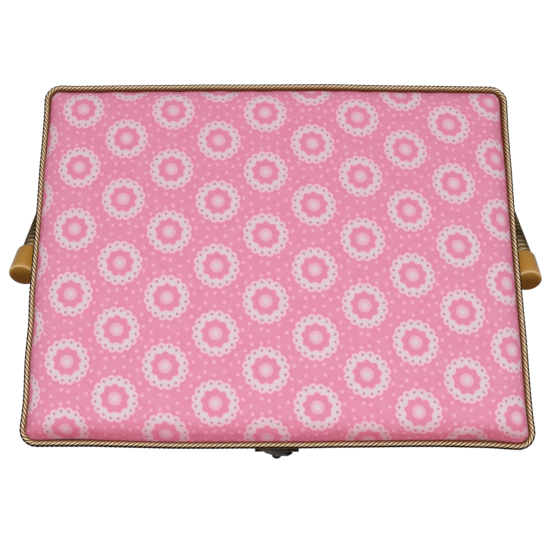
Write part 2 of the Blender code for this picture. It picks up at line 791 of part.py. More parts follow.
# (y, z) from the body end, round the fold, to the lid end
STAY = (
    (70.0, 121.5), (79.0, 123.2), (87.5, 125.6), (87.9, 127.6), (79.0, 129.6), (70.0, 131.3),
)
for s, side in SIDES:
    mesh = sweep(bmesh.new(), [(s * STAY_X, y, z) for y, z in STAY], STAY_R, 6)
    piece(mesh, "stay_cord_" + side, cord, smooth=60)

# ---------------------------------------------------------------- compartment tray
TRAY_HX, TRAY_HY, TRAY_R = 131.5, 99.0, 9.0
TRAY_H = TRAY_Z1 - TRAY_Z0
TRAY_WALL, TRAY_FLOOR, TRAY_RIB = 1.8, 1.8, 1.6
BAY_R = 6.0
TRAY_IX, TRAY_IY = TRAY_HX - TRAY_WALL, TRAY_HY - TRAY_WALL
# inner wall faces and rib middles: x of the columns, then y of each column's rows
COLUMNS = (-TRAY_IX, -46.0, 46.0, TRAY_IX)
ROWS = (
    (-TRAY_IY, -34.0, TRAY_IY),
    (-TRAY_IY, -32.4, 32.4, TRAY_IY),
    (-TRAY_IY, 34.0, TRAY_IY),
)


def bays(lines):
    """Clear spans between neighbouring lines, less half a rib at the inner ones."""
    last = len(lines) - 2
    return [
        (
            lines[k] + (TRAY_RIB / 2 if k else 0),
            lines[k + 1] - (TRAY_RIB / 2 if k < last else 0),
        )
        for k in range(last + 1)
    ]


mesh = prism(bmesh.new(), rrect(TRAY_HX, TRAY_HY, TRAY_R), 0.0, TRAY_H)
tray = piece(mesh, "tray", tray_plastic, pivot_tray)

mesh = bmesh.new()
for (x0, x1), rows in zip(bays(COLUMNS), ROWS):
    for y0, y1 in bays(rows):
        middle = ((x0 + x1) / 2, (y0 + y1) / 2)
        outline = rrect((x1 - x0) / 2, (y1 - y0) / 2, BAY_R, 3, middle)
        prism(mesh, outline, TRAY_FLOOR, TRAY_H + 2.0)
cut(tray, helper(mesh, "cut_compartments", pivot_tray))
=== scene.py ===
import json
import math

import bmesh
import bpy
import numpy as np
from mathutils import Matrix, Vector


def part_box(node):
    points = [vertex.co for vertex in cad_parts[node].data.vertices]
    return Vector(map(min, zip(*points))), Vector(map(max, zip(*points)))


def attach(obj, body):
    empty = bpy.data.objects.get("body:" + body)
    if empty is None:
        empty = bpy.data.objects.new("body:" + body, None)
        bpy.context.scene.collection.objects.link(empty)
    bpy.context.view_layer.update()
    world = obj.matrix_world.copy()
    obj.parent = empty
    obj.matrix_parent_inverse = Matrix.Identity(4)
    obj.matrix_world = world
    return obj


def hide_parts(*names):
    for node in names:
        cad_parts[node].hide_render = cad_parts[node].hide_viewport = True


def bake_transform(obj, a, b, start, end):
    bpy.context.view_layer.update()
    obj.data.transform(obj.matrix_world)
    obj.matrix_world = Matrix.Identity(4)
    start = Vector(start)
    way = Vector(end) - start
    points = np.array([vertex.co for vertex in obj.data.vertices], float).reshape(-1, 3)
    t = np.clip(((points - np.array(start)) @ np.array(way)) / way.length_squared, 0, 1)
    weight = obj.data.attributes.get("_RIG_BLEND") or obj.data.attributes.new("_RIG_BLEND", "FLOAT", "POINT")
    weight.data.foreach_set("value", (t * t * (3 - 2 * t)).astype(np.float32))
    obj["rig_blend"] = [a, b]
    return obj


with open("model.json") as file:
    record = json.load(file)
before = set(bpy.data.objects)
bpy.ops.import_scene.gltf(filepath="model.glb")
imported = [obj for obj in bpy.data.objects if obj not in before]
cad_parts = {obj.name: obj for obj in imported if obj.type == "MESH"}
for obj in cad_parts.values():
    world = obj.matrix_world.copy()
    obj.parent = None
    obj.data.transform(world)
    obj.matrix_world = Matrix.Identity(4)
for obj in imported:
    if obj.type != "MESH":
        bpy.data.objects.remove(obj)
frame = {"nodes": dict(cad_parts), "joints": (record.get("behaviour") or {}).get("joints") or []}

MM = 0.001
TAU = 2 * math.pi
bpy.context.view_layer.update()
scene = bpy.context.scene
rng = np.random.default_rng(7)

# ============================================================ places, from the frame (mm)


def lohi(node):
    lo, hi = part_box(node)
    return np.array(lo) * 1000.0, np.array(hi) * 1000.0


cord_lo, cord_hi = lohi("lid_cord")
CORD_R = (cord_hi[2] - cord_lo[2]) / 2 * 1.02
CORD_HX, CORD_HY = cord_hi[0] - 2.3, cord_hi[1] - 2.3
CORD_Z = (cord_hi[2] + cord_lo[2]) / 2
dome_lo, dome_hi = lohi("lid_cover")
band_lo, band_hi = lohi("lid_band_cover")
body_lo, body_hi = lohi("body_cover")
lin_lo, lin_hi = lohi("body_lining")
tray_lo, tray_hi = lohi("tray")
JOINT = {j["name"]: j for j in frame["joints"]}
HINGE = np.array(JOINT["lid_hinge"]["pos_m"]) * 1000
LATCH = np.array(JOINT["latch_swing"]["pos_m"]) * 1000
PIVOT = np.array(JOINT["handle_swing"]["pos_m"]) * 1000
cap_lo, cap_hi = lohi("handle_cap_right")
PIVOT_X = (cap_lo[0] + cap_hi[0]) / 2
REST = math.radians(33.0)

# ============================================================ mesh helpers


def signed_volume(co, faces):
    p = co[faces]
    v = np.einsum("ij,ij->i", p[:, 0], np.cross(p[:, 1], p[:, 2]))
    if faces.shape[1] == 4:
        v = v + np.einsum("ij,ij->i", p[:, 0], np.cross(p[:, 2], p[:, 3]))
    return v.sum()


def build(name, co, faces, uv=None, uv2=None, attrs=None, closed=False, mats=()):
    """co in mm (n,3); faces a list of index arrays (quads and/or other polygons);
    uv per corner in the order of the faces."""
    co = np.asarray(co, float)
    me = bpy.data.meshes.new(name)
    flat = [np.asarray(f) for f in faces]
    quads = []
    for f in flat:
        if f.ndim == 1:
            quads.append(f.tolist())
        else:
            quads.extend(f.tolist())
    if closed:
        big = [f for f in flat if f.ndim == 2]
        vol = sum(signed_volume(co, f) for f in big)
        if vol < 0:
            quads = [q[::-1] for q in quads]
            if uv is not None:
                uv = reverse_uv(quads, uv)
            if uv2 is not None:
                uv2 = reverse_uv(quads, uv2)
    me.from_pydata((co * MM).tolist(), [], quads)
    if uv is not None:
        lay = me.uv_layers.new(name="UVMap")
        lay.data.foreach_set("uv", np.asarray(uv, np.float32).ravel())
    if uv2 is not None:
        lay = me.uv_layers.new(name="Cloth")
        lay.data.foreach_set("uv", np.asarray(uv2, np.float32).ravel())
    for key, val in (attrs or {}).items():
        a = me.attributes.new(key, "FLOAT", "POINT")
        a.data.foreach_set("value", np.asarray(val, np.float32).ravel())
    me.shade_smooth()
    me.update()
    ob = bpy.data.objects.new(name, me)
    scene.collection.objects.link(ob)
    for m in mats:
        me.materials.append(m)
    return ob


def reverse_uv(quads, uv):
    out = np.array(uv, float)
    k = 0
    for q in quads:
        n = len(q)
        out[k : k + n] = out[k : k + n][::-1]
        k += n
    return out


def grid_faces(nu, nv, cu=False, cv=False, base=0):
    iu = np.arange(nu if cu else nu - 1)
    iv = np.arange(nv if cv else nv - 1)
    i, j = np.meshgrid(iu, iv, indexing="ij")
    i, j = i.ravel(), j.ravel()
    i2, j2 = (i + 1) % nu, (j + 1) % nv
    return np.stack([i * nv + j, i2 * nv + j, i2 * nv + j2, i * nv + j2], -1) + base


def grid_uv(us, vs):
    """Corner UVs for grid_faces: us and vs have one value more than the cells."""
    nu, nv = len(us) - 1, len(vs) - 1
    i, j = np.meshgrid(np.arange(nu), np.arange(nv), indexing="ij")
    i, j = i.ravel(), j.ravel()
    u, v = np.asarray(us, float), np.asarray(vs, float)
    return np.stack(
        [
            np.stack([u[i], v[j]], -1),
            np.stack([u[i + 1], v[j]], -1),
            np.stack([u[i + 1], v[j + 1]], -1),
            np.stack([u[i], v[j + 1]], -1),
        ],
        1,
    ).reshape(-1, 2)


def rrect(hx, hy, r, n=12, straight=0):
    """Points of a rounded rectangle, anticlockwise, and their distance along it."""
    pts = []
    corners = ((hx - r, hy - r, 0), (-hx + r, hy - r, 90), (-hx + r, -hy + r, 180), (hx - r, -hy + r, 270))
    for k, (cx, cy, a0) in enumerate(corners):
        arc = [
            (cx + r * math.cos(math.radians(a0 + 90 * i / n)), cy + r * math.sin(math.radians(a0 + 90 * i / n)))
            for i in range(n + 1)
        ]
        pts += arc
        if straight:
            nx, ny, na = corners[(k + 1) % 4]
            nxt = (nx + r * math.cos(math.radians(na)), ny + r * math.sin(math.radians(na)))
            x0, y0 = arc[-1]
            m = max(1, int(math.hypot(nxt[0] - x0, nxt[1] - y0) / straight))
            pts += [(x0 + (nxt[0] - x0) * i / m, y0 + (nxt[1] - y0) * i / m) for i in range(1, m)]
    return np.array(pts)


def arclen(p, closed=True):
    q = np.vstack([p, p[:1]]) if closed else p
    return np.concatenate([[0], np.cumsum(np.linalg.norm(np.diff(q, axis=0), axis=1))])


def resample(p, step, closed=True):
    """Points spaced evenly along a path, and its full length."""
    s = arclen(p, closed)
    q = np.vstack([p, p[:1]]) if closed else p
    n = max(4, int(round(s[-1] / step)))
    t = np.linspace(0, s[-1], n + 1)
    out = np.stack([np.interp(t, s, q[:, k]) for k in range(q.shape[1])], -1)
    return (out[:-1] if closed else out), s[-1]


def smooth_closed(p, times=2):
    for _ in range(times):
        p = (np.roll(p, 1, 0) + 2 * p + np.roll(p, -1, 0)) / 4
    return p


def normals2d(p):
    """Outward normals of an anticlockwise closed outline."""
    t = np.roll(p, -1, 0) - np.roll(p, 1, 0)
    t /= np.linalg.norm(t, axis=1)[:, None]
    return np.stack([t[:, 1], -t[:, 0]], -1)


def frames(path, closed, up=None):
    """Tangent, side and up of a path; a fixed up for a flat path, else carried along."""
    if closed:
        t = np.roll(path, -1, 0) - np.roll(path, 1, 0)
    else:
        t = np.gradient(path, axis=0)
    t /= np.linalg.norm(t, axis=1)[:, None]
    if up is not None:
        up = np.asarray(up, float)
        side = np.cross(up, t)
        side /= np.linalg.norm(side, axis=1)[:, None]
        return t, side, np.cross(t, side)
    side = np.zeros_like(t)
    ref = np.array([0, 0, 1.0]) if abs(t[0][2]) < 0.9 else np.array([1.0, 0, 0])
    s = np.cross(ref, t[0])
    for k in range(len(t)):
        s = s - t[k] * np.dot(s, t[k])
        s /= np.linalg.norm(s)
        side[k] = s
    return t, side, np.cross(t, side)


def tube(name, path, radius, n=12, closed=False, up=None, mats=(), shape=None, uvscale=1.0):
    """A tube along a path; radius a number or one per point; shape(angle, s) scales it."""
    t, side, upv = frames(path, closed, up)
    m = len(path)
    a = np.linspace(0, TAU, n, endpoint=False)
    r = np.broadcast_to(np.asarray(radius, float), (m,))
    s = arclen(path, closed)
    rr = r[:, None] * np.ones((1, n))
    if shape is not None:
        rr = rr * shape(a[None, :], s[:m, None])
    P = path[:, None, :] + rr[..., None] * (
        np.cos(a)[None, :, None] * side[:, None, :] + np.sin(a)[None, :, None] * upv[:, None, :]
    )
    co = P.reshape(-1, 3)
    faces = [grid_faces(m, n, closed, True)]
    us = s[: m + 1] if closed else s[:m]
    uv = grid_uv(us * uvscale, np.linspace(0, 1, n + 1))
    if not closed:
        faces += [np.arange(n)[::-1].copy(), np.arange(n) + (m - 1) * n]
        extra = np.concatenate([np.tile([[us[0], 0.5]], (n, 1)), np.tile([[us[-1], 0.5]], (n, 1))])
        uv = np.concatenate([uv, extra])
    return build(name, co, faces, uv=uv, closed=True, mats=mats)


def rope(name, path, r_out, lay, strands=3, step=0.42, sides=10, closed=True, up=(0, 0, 1), mats=(), hand=-1, squash=1.0, phase=0.0):
    """Strands twisted round one another along a path, as separate closed tubes in one mesh."""
    length = arclen(path, closed)[-1]
    if closed:
        lay = length / round(length / lay)
    path, length = resample(path, step, closed)
    t, side, upv = frames(path, closed, up)
    m = len(path)
    s = np.arange(m) * (length / (m if closed else m - 1))
    r_s = r_out / (1 + 1 / math.sin(math.pi / strands)) if strands > 1 else r_out
    r_h = r_out - r_s
    r_s *= 1.07
    co, faces, uv, depth, tone, outward = [], [], [], [], [], []
    base = 0
    for k in range(strands):
        ang = hand * TAU * s / lay + TAU * k / strands + phase
        rad = np.cos(ang)[:, None] * side + np.sin(ang)[:, None] * upv
        c = path + r_h * rad
        tt = (np.roll(c, -1, 0) - np.roll(c, 1, 0)) if closed else np.gradient(c, axis=0)
        tt /= np.linalg.norm(tt, axis=1)[:, None]
        e1 = rad - tt * np.einsum("ij,ij->i", rad, tt)[:, None]
        e1 /= np.linalg.norm(e1, axis=1)[:, None]
        e2 = np.cross(tt, e1)
        a = np.linspace(0, TAU, sides, endpoint=False)
        P = c[:, None, :] + r_s * (
            np.cos(a)[None, :, None] * e1[:, None, :] + squash * np.sin(a)[None, :, None] * e2[:, None, :]
        )
        co.append(P.reshape(-1, 3))
        faces.append(grid_faces(m, sides, closed, True, base))
        us = np.append(s, length) if closed else s
        uv.append(grid_uv(us, np.linspace(0, 1, sides + 1)))
        depth.append(np.tile((1 + np.cos(a)) / 2, (m, 1)).ravel())
        nn = np.cos(a)[None, :, None] * e1[:, None, :] + np.sin(a)[None, :, None] * e2[:, None, :]
        far = (P - path[:, None, :]) / r_out
        outward.append(-np.einsum("ijk,ik->ij", 0.5 * nn + 0.5 * far, side).ravel())
        tone.append(np.full(m * sides, k / max(strands - 1, 1)))
        if not closed:
            faces += [np.arange(sides)[::-1] + base, np.arange(sides) + base + (m - 1) * sides]
            uv.append(np.zeros((2 * sides, 2)))
        base += m * sides
    # corner UVs follow the faces, so the caps' go after their own strand's
    return build(
        name,
        np.concatenate(co),
        faces,
        uv=np.concatenate(uv),
        attrs={"depth": np.concatenate(depth), "strand": np.concatenate(tone), "outward": np.concatenate(outward)},
        closed=True,
        mats=mats,
    )


def solid_plate(name, outline, thick, bevel=0.25, holes=(), mats=(), segs=2):
    """A flat plate from an outline (x, y) in mm, from z 0 to thick, with bevelled edges."""
    bm = bmesh.new()
    vs = [bm.verts.new((x, y, 0)) for x, y in outline]
    face = bm.faces.new(vs)
    if face.normal.z > 0:
        face.normal_flip()
    ext = bmesh.ops.extrude_face_region(bm, geom=[face])
    bmesh.ops.translate(bm, vec=(0, 0, thick), verts=[g for g in ext["geom"] if isinstance(g, bmesh.types.BMVert)])
    bmesh.ops.recalc_face_normals(bm, faces=bm.faces)
    rims = [e for e in bm.edges if abs(e.verts[0].co.z - e.verts[1].co.z) < 1e-6]
    bmesh.ops.bevel(bm, geom=rims, offset=bevel, segments=segs, affect="EDGES", profile=0.6)
    me = bpy.data.meshes.new(name)
    bmesh.ops.scale(bm, vec=(MM, MM, MM), verts=bm.verts)
    bm.to_mesh(me)
    bm.free()
    me.shade_smooth()
    me.set_sharp_from_angle(angle=math.radians(50))
    ob = bpy.data.objects.new(name, me)
    scene.collection.objects.link(ob)
    for m in mats:
        me.materials.append(m)
    return ob


def lathe(name, profile, n=48, mats=(), sub=0):
    """(radius, height) turned round +Z, closed at both ends."""
    pr = np.array(profile, float)
    a = np.linspace(0, TAU, n, endpoint=False)
    P = np.stack(
        [pr[:, 0][:, None] * np.cos(a), pr[:, 0][:, None] * np.sin(a), np.repeat(pr[:, 1][:, None], n, 1)], -1
    )
    m = len(pr)
    faces = [grid_faces(m, n, False, True), np.arange(n)[::-1].copy(), np.arange(n) + (m - 1) * n]
    s = arclen(pr, False)
    uv = grid_uv(s, np.linspace(0, 1, n + 1))
    uv = np.concatenate([uv, np.zeros((2 * n, 2))])
    return build(name, P.reshape(-1, 3), faces, uv=uv, closed=True, mats=mats)


def join(obs, name):
    bpy.ops.object.select_all(action="DESELECT")
    for o in obs:
        o.select_set(True)
    bpy.context.view_layer.objects.active = obs[0]
    bpy.ops.object.join()
    obs[0].name = name
    obs[0].data.name = name
    return obs[0]


def transform(ob, m):
    ob.data.transform(m)
    ob.data.update()
    return ob


def place(ob, x=0, y=0, z=0, rx=0, ry=0, rz=0):
    m = (
        Matrix.Translation((x * MM, y * MM, z * MM))
        @ Matrix.Rotation(math.radians(rz), 4, "Z")
        @ Matrix.Rotation(math.radians(ry), 4, "Y")
        @ Matrix.Rotation(math.radians(rx), 4, "X")
    )
    return transform(ob, m)


def apply_modifiers(ob):
    dg = bpy.context.evaluated_depsgraph_get()
    me = bpy.data.meshes.new_from_object(ob.evaluated_get(dg), preserve_all_data_layers=True, depsgraph=dg)
    old = ob.data
    ob.modifiers.clear()
    ob.data = me
    me.name = ob.name
    if old.users == 0:
        bpy.data.meshes.remove(old)
    return ob


def subsurf(ob, levels=1):
    m = ob.modifiers.new("sub", "SUBSURF")
    m.levels = m.render_levels = levels
    return apply_modifiers(ob)


def bevel_mod(ob, width, segs=2, angle=30):
    m = ob.modifiers.new("bev", "BEVEL")
    m.width = width * MM
    m.segments = segs
    m.limit_method = "ANGLE"
    m.angle_limit = math.radians(angle)
    m.use_clamp_overlap = True
    return apply_modifiers(ob)


def vnoise(p, scale, seed=0):
    """Smooth value noise of points (n, d<=3), in -1..1."""
    p = np.asarray(p, float) / scale + 31.7 * (seed + 1)
    if p.shape[1] == 2:
        p = np.column_stack([p, np.zeros(len(p))])
    i = np.floor(p).astype(np.int64)
    f = p - i
    f = f * f * (3 - 2 * f)
    out = np.zeros(len(p))
    for dx in (0, 1):
        for dy in (0, 1):
            for dz in (0, 1):
                h = (
                    (i[:, 0] + dx) * 374761393 + (i[:, 1] + dy) * 668265263 + (i[:, 2] + dz) * 2147483647 + seed * 144665
                ) & 0xFFFFFFFF
                h = ((h ^ (h >> 13)) * 1274126177) & 0xFFFFFFFF
                h = (h ^ (h >> 16)) & 0xFFFF
                w = (
                    (f[:, 0] if dx else 1 - f[:, 0])
                    * (f[:, 1] if dy else 1 - f[:, 1])
                    * (f[:, 2] if dz else 1 - f[:, 2])
                )
                out += w * (h / 32767.5 - 1)
    return out


# ============================================================ materials


class Mat:
    """A small builder for node materials. Arguments may be numbers, tuples or sockets."""

    def __init__(self, name):
        self.m = bpy.data.materials.new(name)
        self.m.use_nodes = True
        self.t = self.m.node_tree
        self.t.nodes.clear()
        self.out = self.t.nodes.new("ShaderNodeOutputMaterial")
        self.b = self.t.nodes.new("ShaderNodeBsdfPrincipled")
        self.t.links.new(self.b.outputs[0], self.out.inputs[0])

    def put(self, socket, value):
        if isinstance(value, bpy.types.NodeSocket):
            self.t.links.new(value, socket)
        elif value is not None:
            if hasattr(socket.default_value, "__len__") and not hasattr(value, "__len__"):
                value = (value,) * len(socket.default_value)
            if hasattr(value, "__len__") and len(value) == 3 and len(socket.default_value) == 4:
                value = (*value, 1.0)
            socket.default_value = value

    def node(self, kind, **kw):
        n = self.t.nodes.new("ShaderNode" + kind)
        for k, v in kw.items():
            setattr(n, k, v)
        return n

    def math(self, op, a, b=None, c=None, clamp=False):
        n = self.node("Math", operation=op, use_clamp=clamp)
        for s, v in zip(n.inputs, (a, b, c)):
            self.put(s, v)
        return n.outputs[0]

    def vec(self, op, a, b=None, c=None, value=False):
        n = self.node("VectorMath", operation=op)
        for s, v in zip(n.inputs[:3], (a, b, c)):
            self.put(s, v)
        return n.outputs["Value"] if value else n.outputs["Vector"]

    def xyz(self, v):
        n = self.node("SeparateXYZ")
        self.put(n.inputs[0], v)
        return n.outputs

    def combine(self, x=0.0, y=0.0, z=0.0):
        n = self.node("CombineXYZ")
        for s, v in zip(n.inputs, (x, y, z)):
            self.put(s, v)
        return n.outputs[0]

    def step(self, v, lo, hi, a=0.0, b=1.0):
        """Smooth step from a (at lo) to b (at hi)."""
        n = self.node("MapRange", interpolation_type="SMOOTHSTEP")
        for s, x in zip(n.inputs[:5], (v, lo, hi, a, b)):
            self.put(s, x)
        return n.outputs[0]

    def mix(self, f, a, b, blend="MIX"):
        n = self.node("Mix", data_type="RGBA", blend_type=blend)
        self.put(n.inputs[0], f)
        self.put(n.inputs[6], a)
        self.put(n.inputs[7], b)
        return n.outputs[2]

    def noise(self, vector, scale, detail=2.0, rough=0.5, dist=0.0):
        n = self.node("TexNoise")
        self.put(n.inputs["Vector"], vector)
        self.put(n.inputs["Scale"], scale)
        self.put(n.inputs["Detail"], detail)
        self.put(n.inputs["Roughness"], rough)
        self.put(n.inputs["Distortion"], dist)
        return n.outputs[0]

    def uv(self, name):
        return self.node("UVMap", uv_map=name).outputs[0]

    def pos(self):
        return self.node("TexCoord").outputs["Object"]

    def attr(self, name):
        return self.node("Attribute", attribute_name=name).outputs["Fac"]

    def bump(self, height, dist, strength=1.0, normal=None):
        n = self.node("Bump")
        self.put(n.inputs["Height"], height)
        self.put(n.inputs["Distance"], dist)
        self.put(n.inputs["Strength"], strength)
        if normal is not None:
            self.put(n.inputs["Normal"], normal)
        return n.outputs[0]

    def set(self, **kw):
        names = {
            "color": "Base Color",
            "rough": "Roughness",
            "metal": "Metallic",
            "normal": "Normal",
            "spec": "Specular IOR Level",
            "sheen": "Sheen Weight",
            "sheen_rough": "Sheen Roughness",
            "sheen_tint": "Sheen Tint",
            "coat": "Coat Weight",
            "coat_rough": "Coat Roughness",
            "sss": "Subsurface Weight",
            "sss_scale": "Subsurface Scale",
            "aniso": "Anisotropic",
            "ior": "IOR",
        }
        for k, v in kw.items():
            self.put(self.b.inputs[names[k]], v)
        return self


def srgb(r, g, b):
    f = lambda c: ((c / 255 + 0.055) / 1.055) ** 2.4 if c > 10 else c / 255 / 12.92
    return (f(r), f(g), f(b))


def mix_rgb(a, b, t):
    return tuple(x * (1 - t) + y * t for x, y in zip(a, b))


# print: half the cell, in mm of pattern
CELL_X, CELL_Y = 29.7, 20.7
PINK = srgb(222, 137, 167)
PINK_SOFT = srgb(222, 143, 171)
PINK_DEEP = srgb(222, 131, 163)
LACE = srgb(217, 198, 204)
LACE_EDGE = srgb(229, 186, 200)
DISC_EDGE = srgb(226, 172, 191)
EYE = srgb(188, 128, 150)
DOT = srgb(236, 172, 194)

# small dots between the rings, in mm from the middle of the nearer of the cell's two rings
DOTS_A = (
    (-16.4, -3.3), (-11.9, 11.1), (-9.5, -14.2), (-8.2, 14.9), (-2.7, -17.1), (-2.7, 15.7), (1.5, -17.9),
    (1.9, 17.0), (7.5, 19.8), (7.6, 14.2), (8.0, -14.0), (14.5, 8.3), (16.6, 3.0), (15.2, -4.7), (-15.9, 4.1),
)
DOTS_B = (
    (-17.1, 2.1), (-15.9, -6.8), (-14.4, 9.6), (-9.7, 14.7), (-8.9, -13.7), (-6.3, 18.2), (-5.8, -17.8),
    (-0.8, -17.0), (-0.8, 16.4), (4.6, -15.9), (5.1, 19.1), (8.5, 14.1), (9.2, -18.0), (12.3, -12.2),
    (14.8, 9.8), (16.1, 2.7), (20.8, -0.9), (15.0, -4.7),
)


def print_colour(n, uv="UVMap", shade=1.0):
    """The cotton print from a UV map in mm: scalloped rings round a flower, and dots."""
    q = n.uv(uv)
    hi, lo = (CELL_X, CELL_Y, 1.0), (-CELL_X, -CELL_Y, -1.0)
    # the outline of printed ink wavers a little
    tex = n.node("TexNoise")
    n.put(tex.inputs["Vector"], q)
    n.put(tex.inputs["Scale"], 0.55)
    n.put(tex.inputs["Detail"], 2.0)
    wob = n.vec("SUBTRACT", tex.outputs[1], (0.5, 0.5, 0.5))
    q2 = n.vec("ADD", q, n.vec("MULTIPLY", wob, (0.9, 0.9, 0.0)))
    flat = n.vec("MULTIPLY", q2, (1.0, 1.0, 0.0))
    da = n.vec("WRAP", flat, hi, lo)
    db = n.vec("WRAP", n.vec("SUBTRACT", flat, (CELL_X, CELL_Y, 0.0)), hi, lo)
    la = n.vec("LENGTH", da, value=True)
    lb = n.vec("LENGTH", db, value=True)
    use_b = n.math("LESS_THAN", lb, la)
    pick = n.node("Mix", data_type="VECTOR")
    n.put(pick.inputs[0], use_b)
    n.put(pick.inputs[4], da)
    n.put(pick.inputs[5], db)
    d = pick.outputs[1]
    x, y, _ = n.xyz(d)
    r = n.math("MINIMUM", la, lb)
    th = n.math("ARCTAN2", y, x)
    # sixteen loops round the ring
    ph = n.math("WRAP", th, TAU / 16, 0.0)
    ph = n.math("SUBTRACT", ph, TAU / 32)
    lx = n.math("MULTIPLY", r, n.math("COSINE", ph))
    ly = n.math("MULTIPLY", r, n.math("SINE", ph))
    loc = n.combine(lx, ly, 0.0)
    loop = n.vec("DISTANCE", loc, (11.6, 0.0, 0.0), value=True)
    eye = n.vec("DISTANCE", loc, (11.7, 0.0, 0.0), value=True)
    loops = n.step(loop, 2.3, 2.95, 1.0, 0.0)
    # the flower inside: nine petals
    petal = n.math("COSINE", n.math("MULTIPLY", n.math("SUBTRACT", th, TAU / 4), 9.0))
    rin = n.math("MULTIPLY_ADD", petal, 0.66, 8.15)
    inside = n.math("SUBTRACT", r, rin)
    inner = n.step(inside, -0.45, 0.5)
    outer = n.step(r, 12.0, 12.6, 1.0, 0.0)
    lace = n.math("MULTIPLY", n.math("MAXIMUM", outer, loops), inner)
    eyes = n.step(eye, 0.45, 1.15, 1.0, 0.0)
    # bright body of the lace against its pinker edge
    body = n.math("MULTIPLY", n.step(r, 11.2, 12.9, 1.0, 0.0), n.step(inside, 0.1, 1.5))
    disc = n.step(r, 3.7, 4.5, 1.0, 0.0)
    disc_in = n.step(r, 0.7, 2.9, 1.0, 0.0)
    best = None
    for spots, centre in ((DOTS_A, da), (DOTS_B, db)):
        for px, py in spots:
            m = n.vec("DISTANCE", centre, (px, py, 0.0), value=True)
            best = m if best is None else n.math("MINIMUM", best, m)
    # ink takes unevenly: some dots print paler
    faint = n.noise(q, 0.09, 2.0)
    dots = n.math("MULTIPLY", n.step(best, 0.65, 1.45, 1.0, 0.0), n.step(faint, 0.3, 0.6, 0.7, 1.0))
    halo = n.step(r, 13.5, 16.5, 1.0, 0.0)
    blotch = n.noise(q, 0.11, 3.0, 0.6)
    ground = n.mix(n.math("MULTIPLY", halo, 0.5), n.mix(n.step(blotch, 0.35, 0.65), PINK, PINK_SOFT), PINK_DEEP)
    col = n.mix(dots, ground, DOT)
    lace_col = n.mix(body, LACE_EDGE, LACE)
    lace_col = n.mix(n.math("MULTIPLY", eyes, 0.9), lace_col, EYE)
    col = n.mix(lace, col, lace_col)
    disc_col = n.mix(disc_in, DISC_EDGE, LACE)
    return n.mix(disc, col, disc_col)


def weave(n, uv, pitch=0.46):
    """A plain weave in 0..1 from a UV map in mm."""
    x, y, _ = n.xyz(n.uv(uv))
    k = math.pi / pitch
    sx = n.math("SINE", n.math("MULTIPLY", x, k))
    sy = n.math("SINE", n.math("MULTIPLY", y, k))
    ax, ay = n.math("ABSOLUTE", sx), n.math("ABSOLUTE", sy)
    check = n.math("GREATER_THAN", n.math("MULTIPLY", n.math("SINE", n.math("MULTIPLY", x, k)), sy), 0.0)
    mixn = n.node("Mix", data_type="FLOAT")
    n.put(mixn.inputs[0], check)
    n.put(mixn.inputs[2], ax)
    n.put(mixn.inputs[3], ay)
    return mixn.outputs[0]


def cotton(name, uv="UVMap", gain=1.0):
    n = Mat(name)
    col = print_colour(n, uv)
    w = weave(n, uv)
    slub = n.noise(n.vec("MULTIPLY", n.uv(uv), (0.35, 2.2, 1.0)), 1.0, 3.0)
    tone = n.math("MULTIPLY_ADD", w, 0.07, 0.93)
    tone = n.math("MULTIPLY", tone, n.math("MULTIPLY_ADD", slub, 0.10, 0.955))
    tone = n.math("MULTIPLY", tone, gain)
    col = n.mix(1.0, col, n.combine(tone, tone, tone), "MULTIPLY")
    # painted shade: the colour is darkened and deepened where the cloth turns down, away from the light
    _, _, nz = n.xyz(n.node("TexCoord").outputs["Normal"])
    slope_shade = n.math("MULTIPLY", n.step(nz, 0.5, 0.99, 1.0, 0.0), n.step(nz, 0.08, 0.3))
    col = n.mix(slope_shade, col, n.mix(1.0, col, (1.0, 0.60, 0.68), "MULTIPLY"))
    # painted shade: darker towards the back, where the light falls off
    _, along, _ = n.xyz(n.pos())
    back_shade = n.step(along, -0.09, 0.115)
    col = n.mix(back_shade, col, n.mix(1.0, col, (0.968, 0.905, 0.925), "MULTIPLY"))
    # painted shade: darker and redder along the front roll
    rubbed = n.math("MULTIPLY", n.step(along, -0.1115, -0.1075), n.step(along, -0.1062, -0.0965, 1.0, 0.0))
    col = n.mix(rubbed, col, n.mix(1.0, col, (0.93, 0.78, 0.79), "MULTIPLY"))
    h = n.math("ADD", n.math("MULTIPLY", w, 0.6), n.math("MULTIPLY", slub, 0.5))
    n.set(
        color=col,
        rough=0.88,
        spec=0.18,
        sheen=0.12,
        sheen_rough=0.5,
        sheen_tint=(1.0, 0.85, 0.9),
        normal=n.bump(h, 0.00010, 0.6),
    )
    return n.m


def satin(name, base, quilted=False):
    n = Mat(name)
    uv = n.uv("UVMap")
    x, y, _ = n.xyz(uv)
    rib = n.math("SINE", n.math("MULTIPLY", y, TAU / 0.35))
    cloud = n.noise(uv, 0.06, 3.0)
    tone = n.math("MULTIPLY_ADD", cloud, 0.22, 0.88)
    col = n.mix(1.0, base, n.combine(tone, tone, tone), "MULTIPLY")
    n.set(
        color=col,
        rough=n.math("MULTIPLY_ADD", cloud, 0.15, 0.3),
        spec=0.6,
        sheen=0.25,
        sheen_rough=0.35,
        aniso=0.5,
        normal=n.bump(n.math("ADD", n.math("MULTIPLY", rib, 0.15), n.noise(uv, 1.2, 2.0)), 0.00012, 0.5),
    )
    return n.m


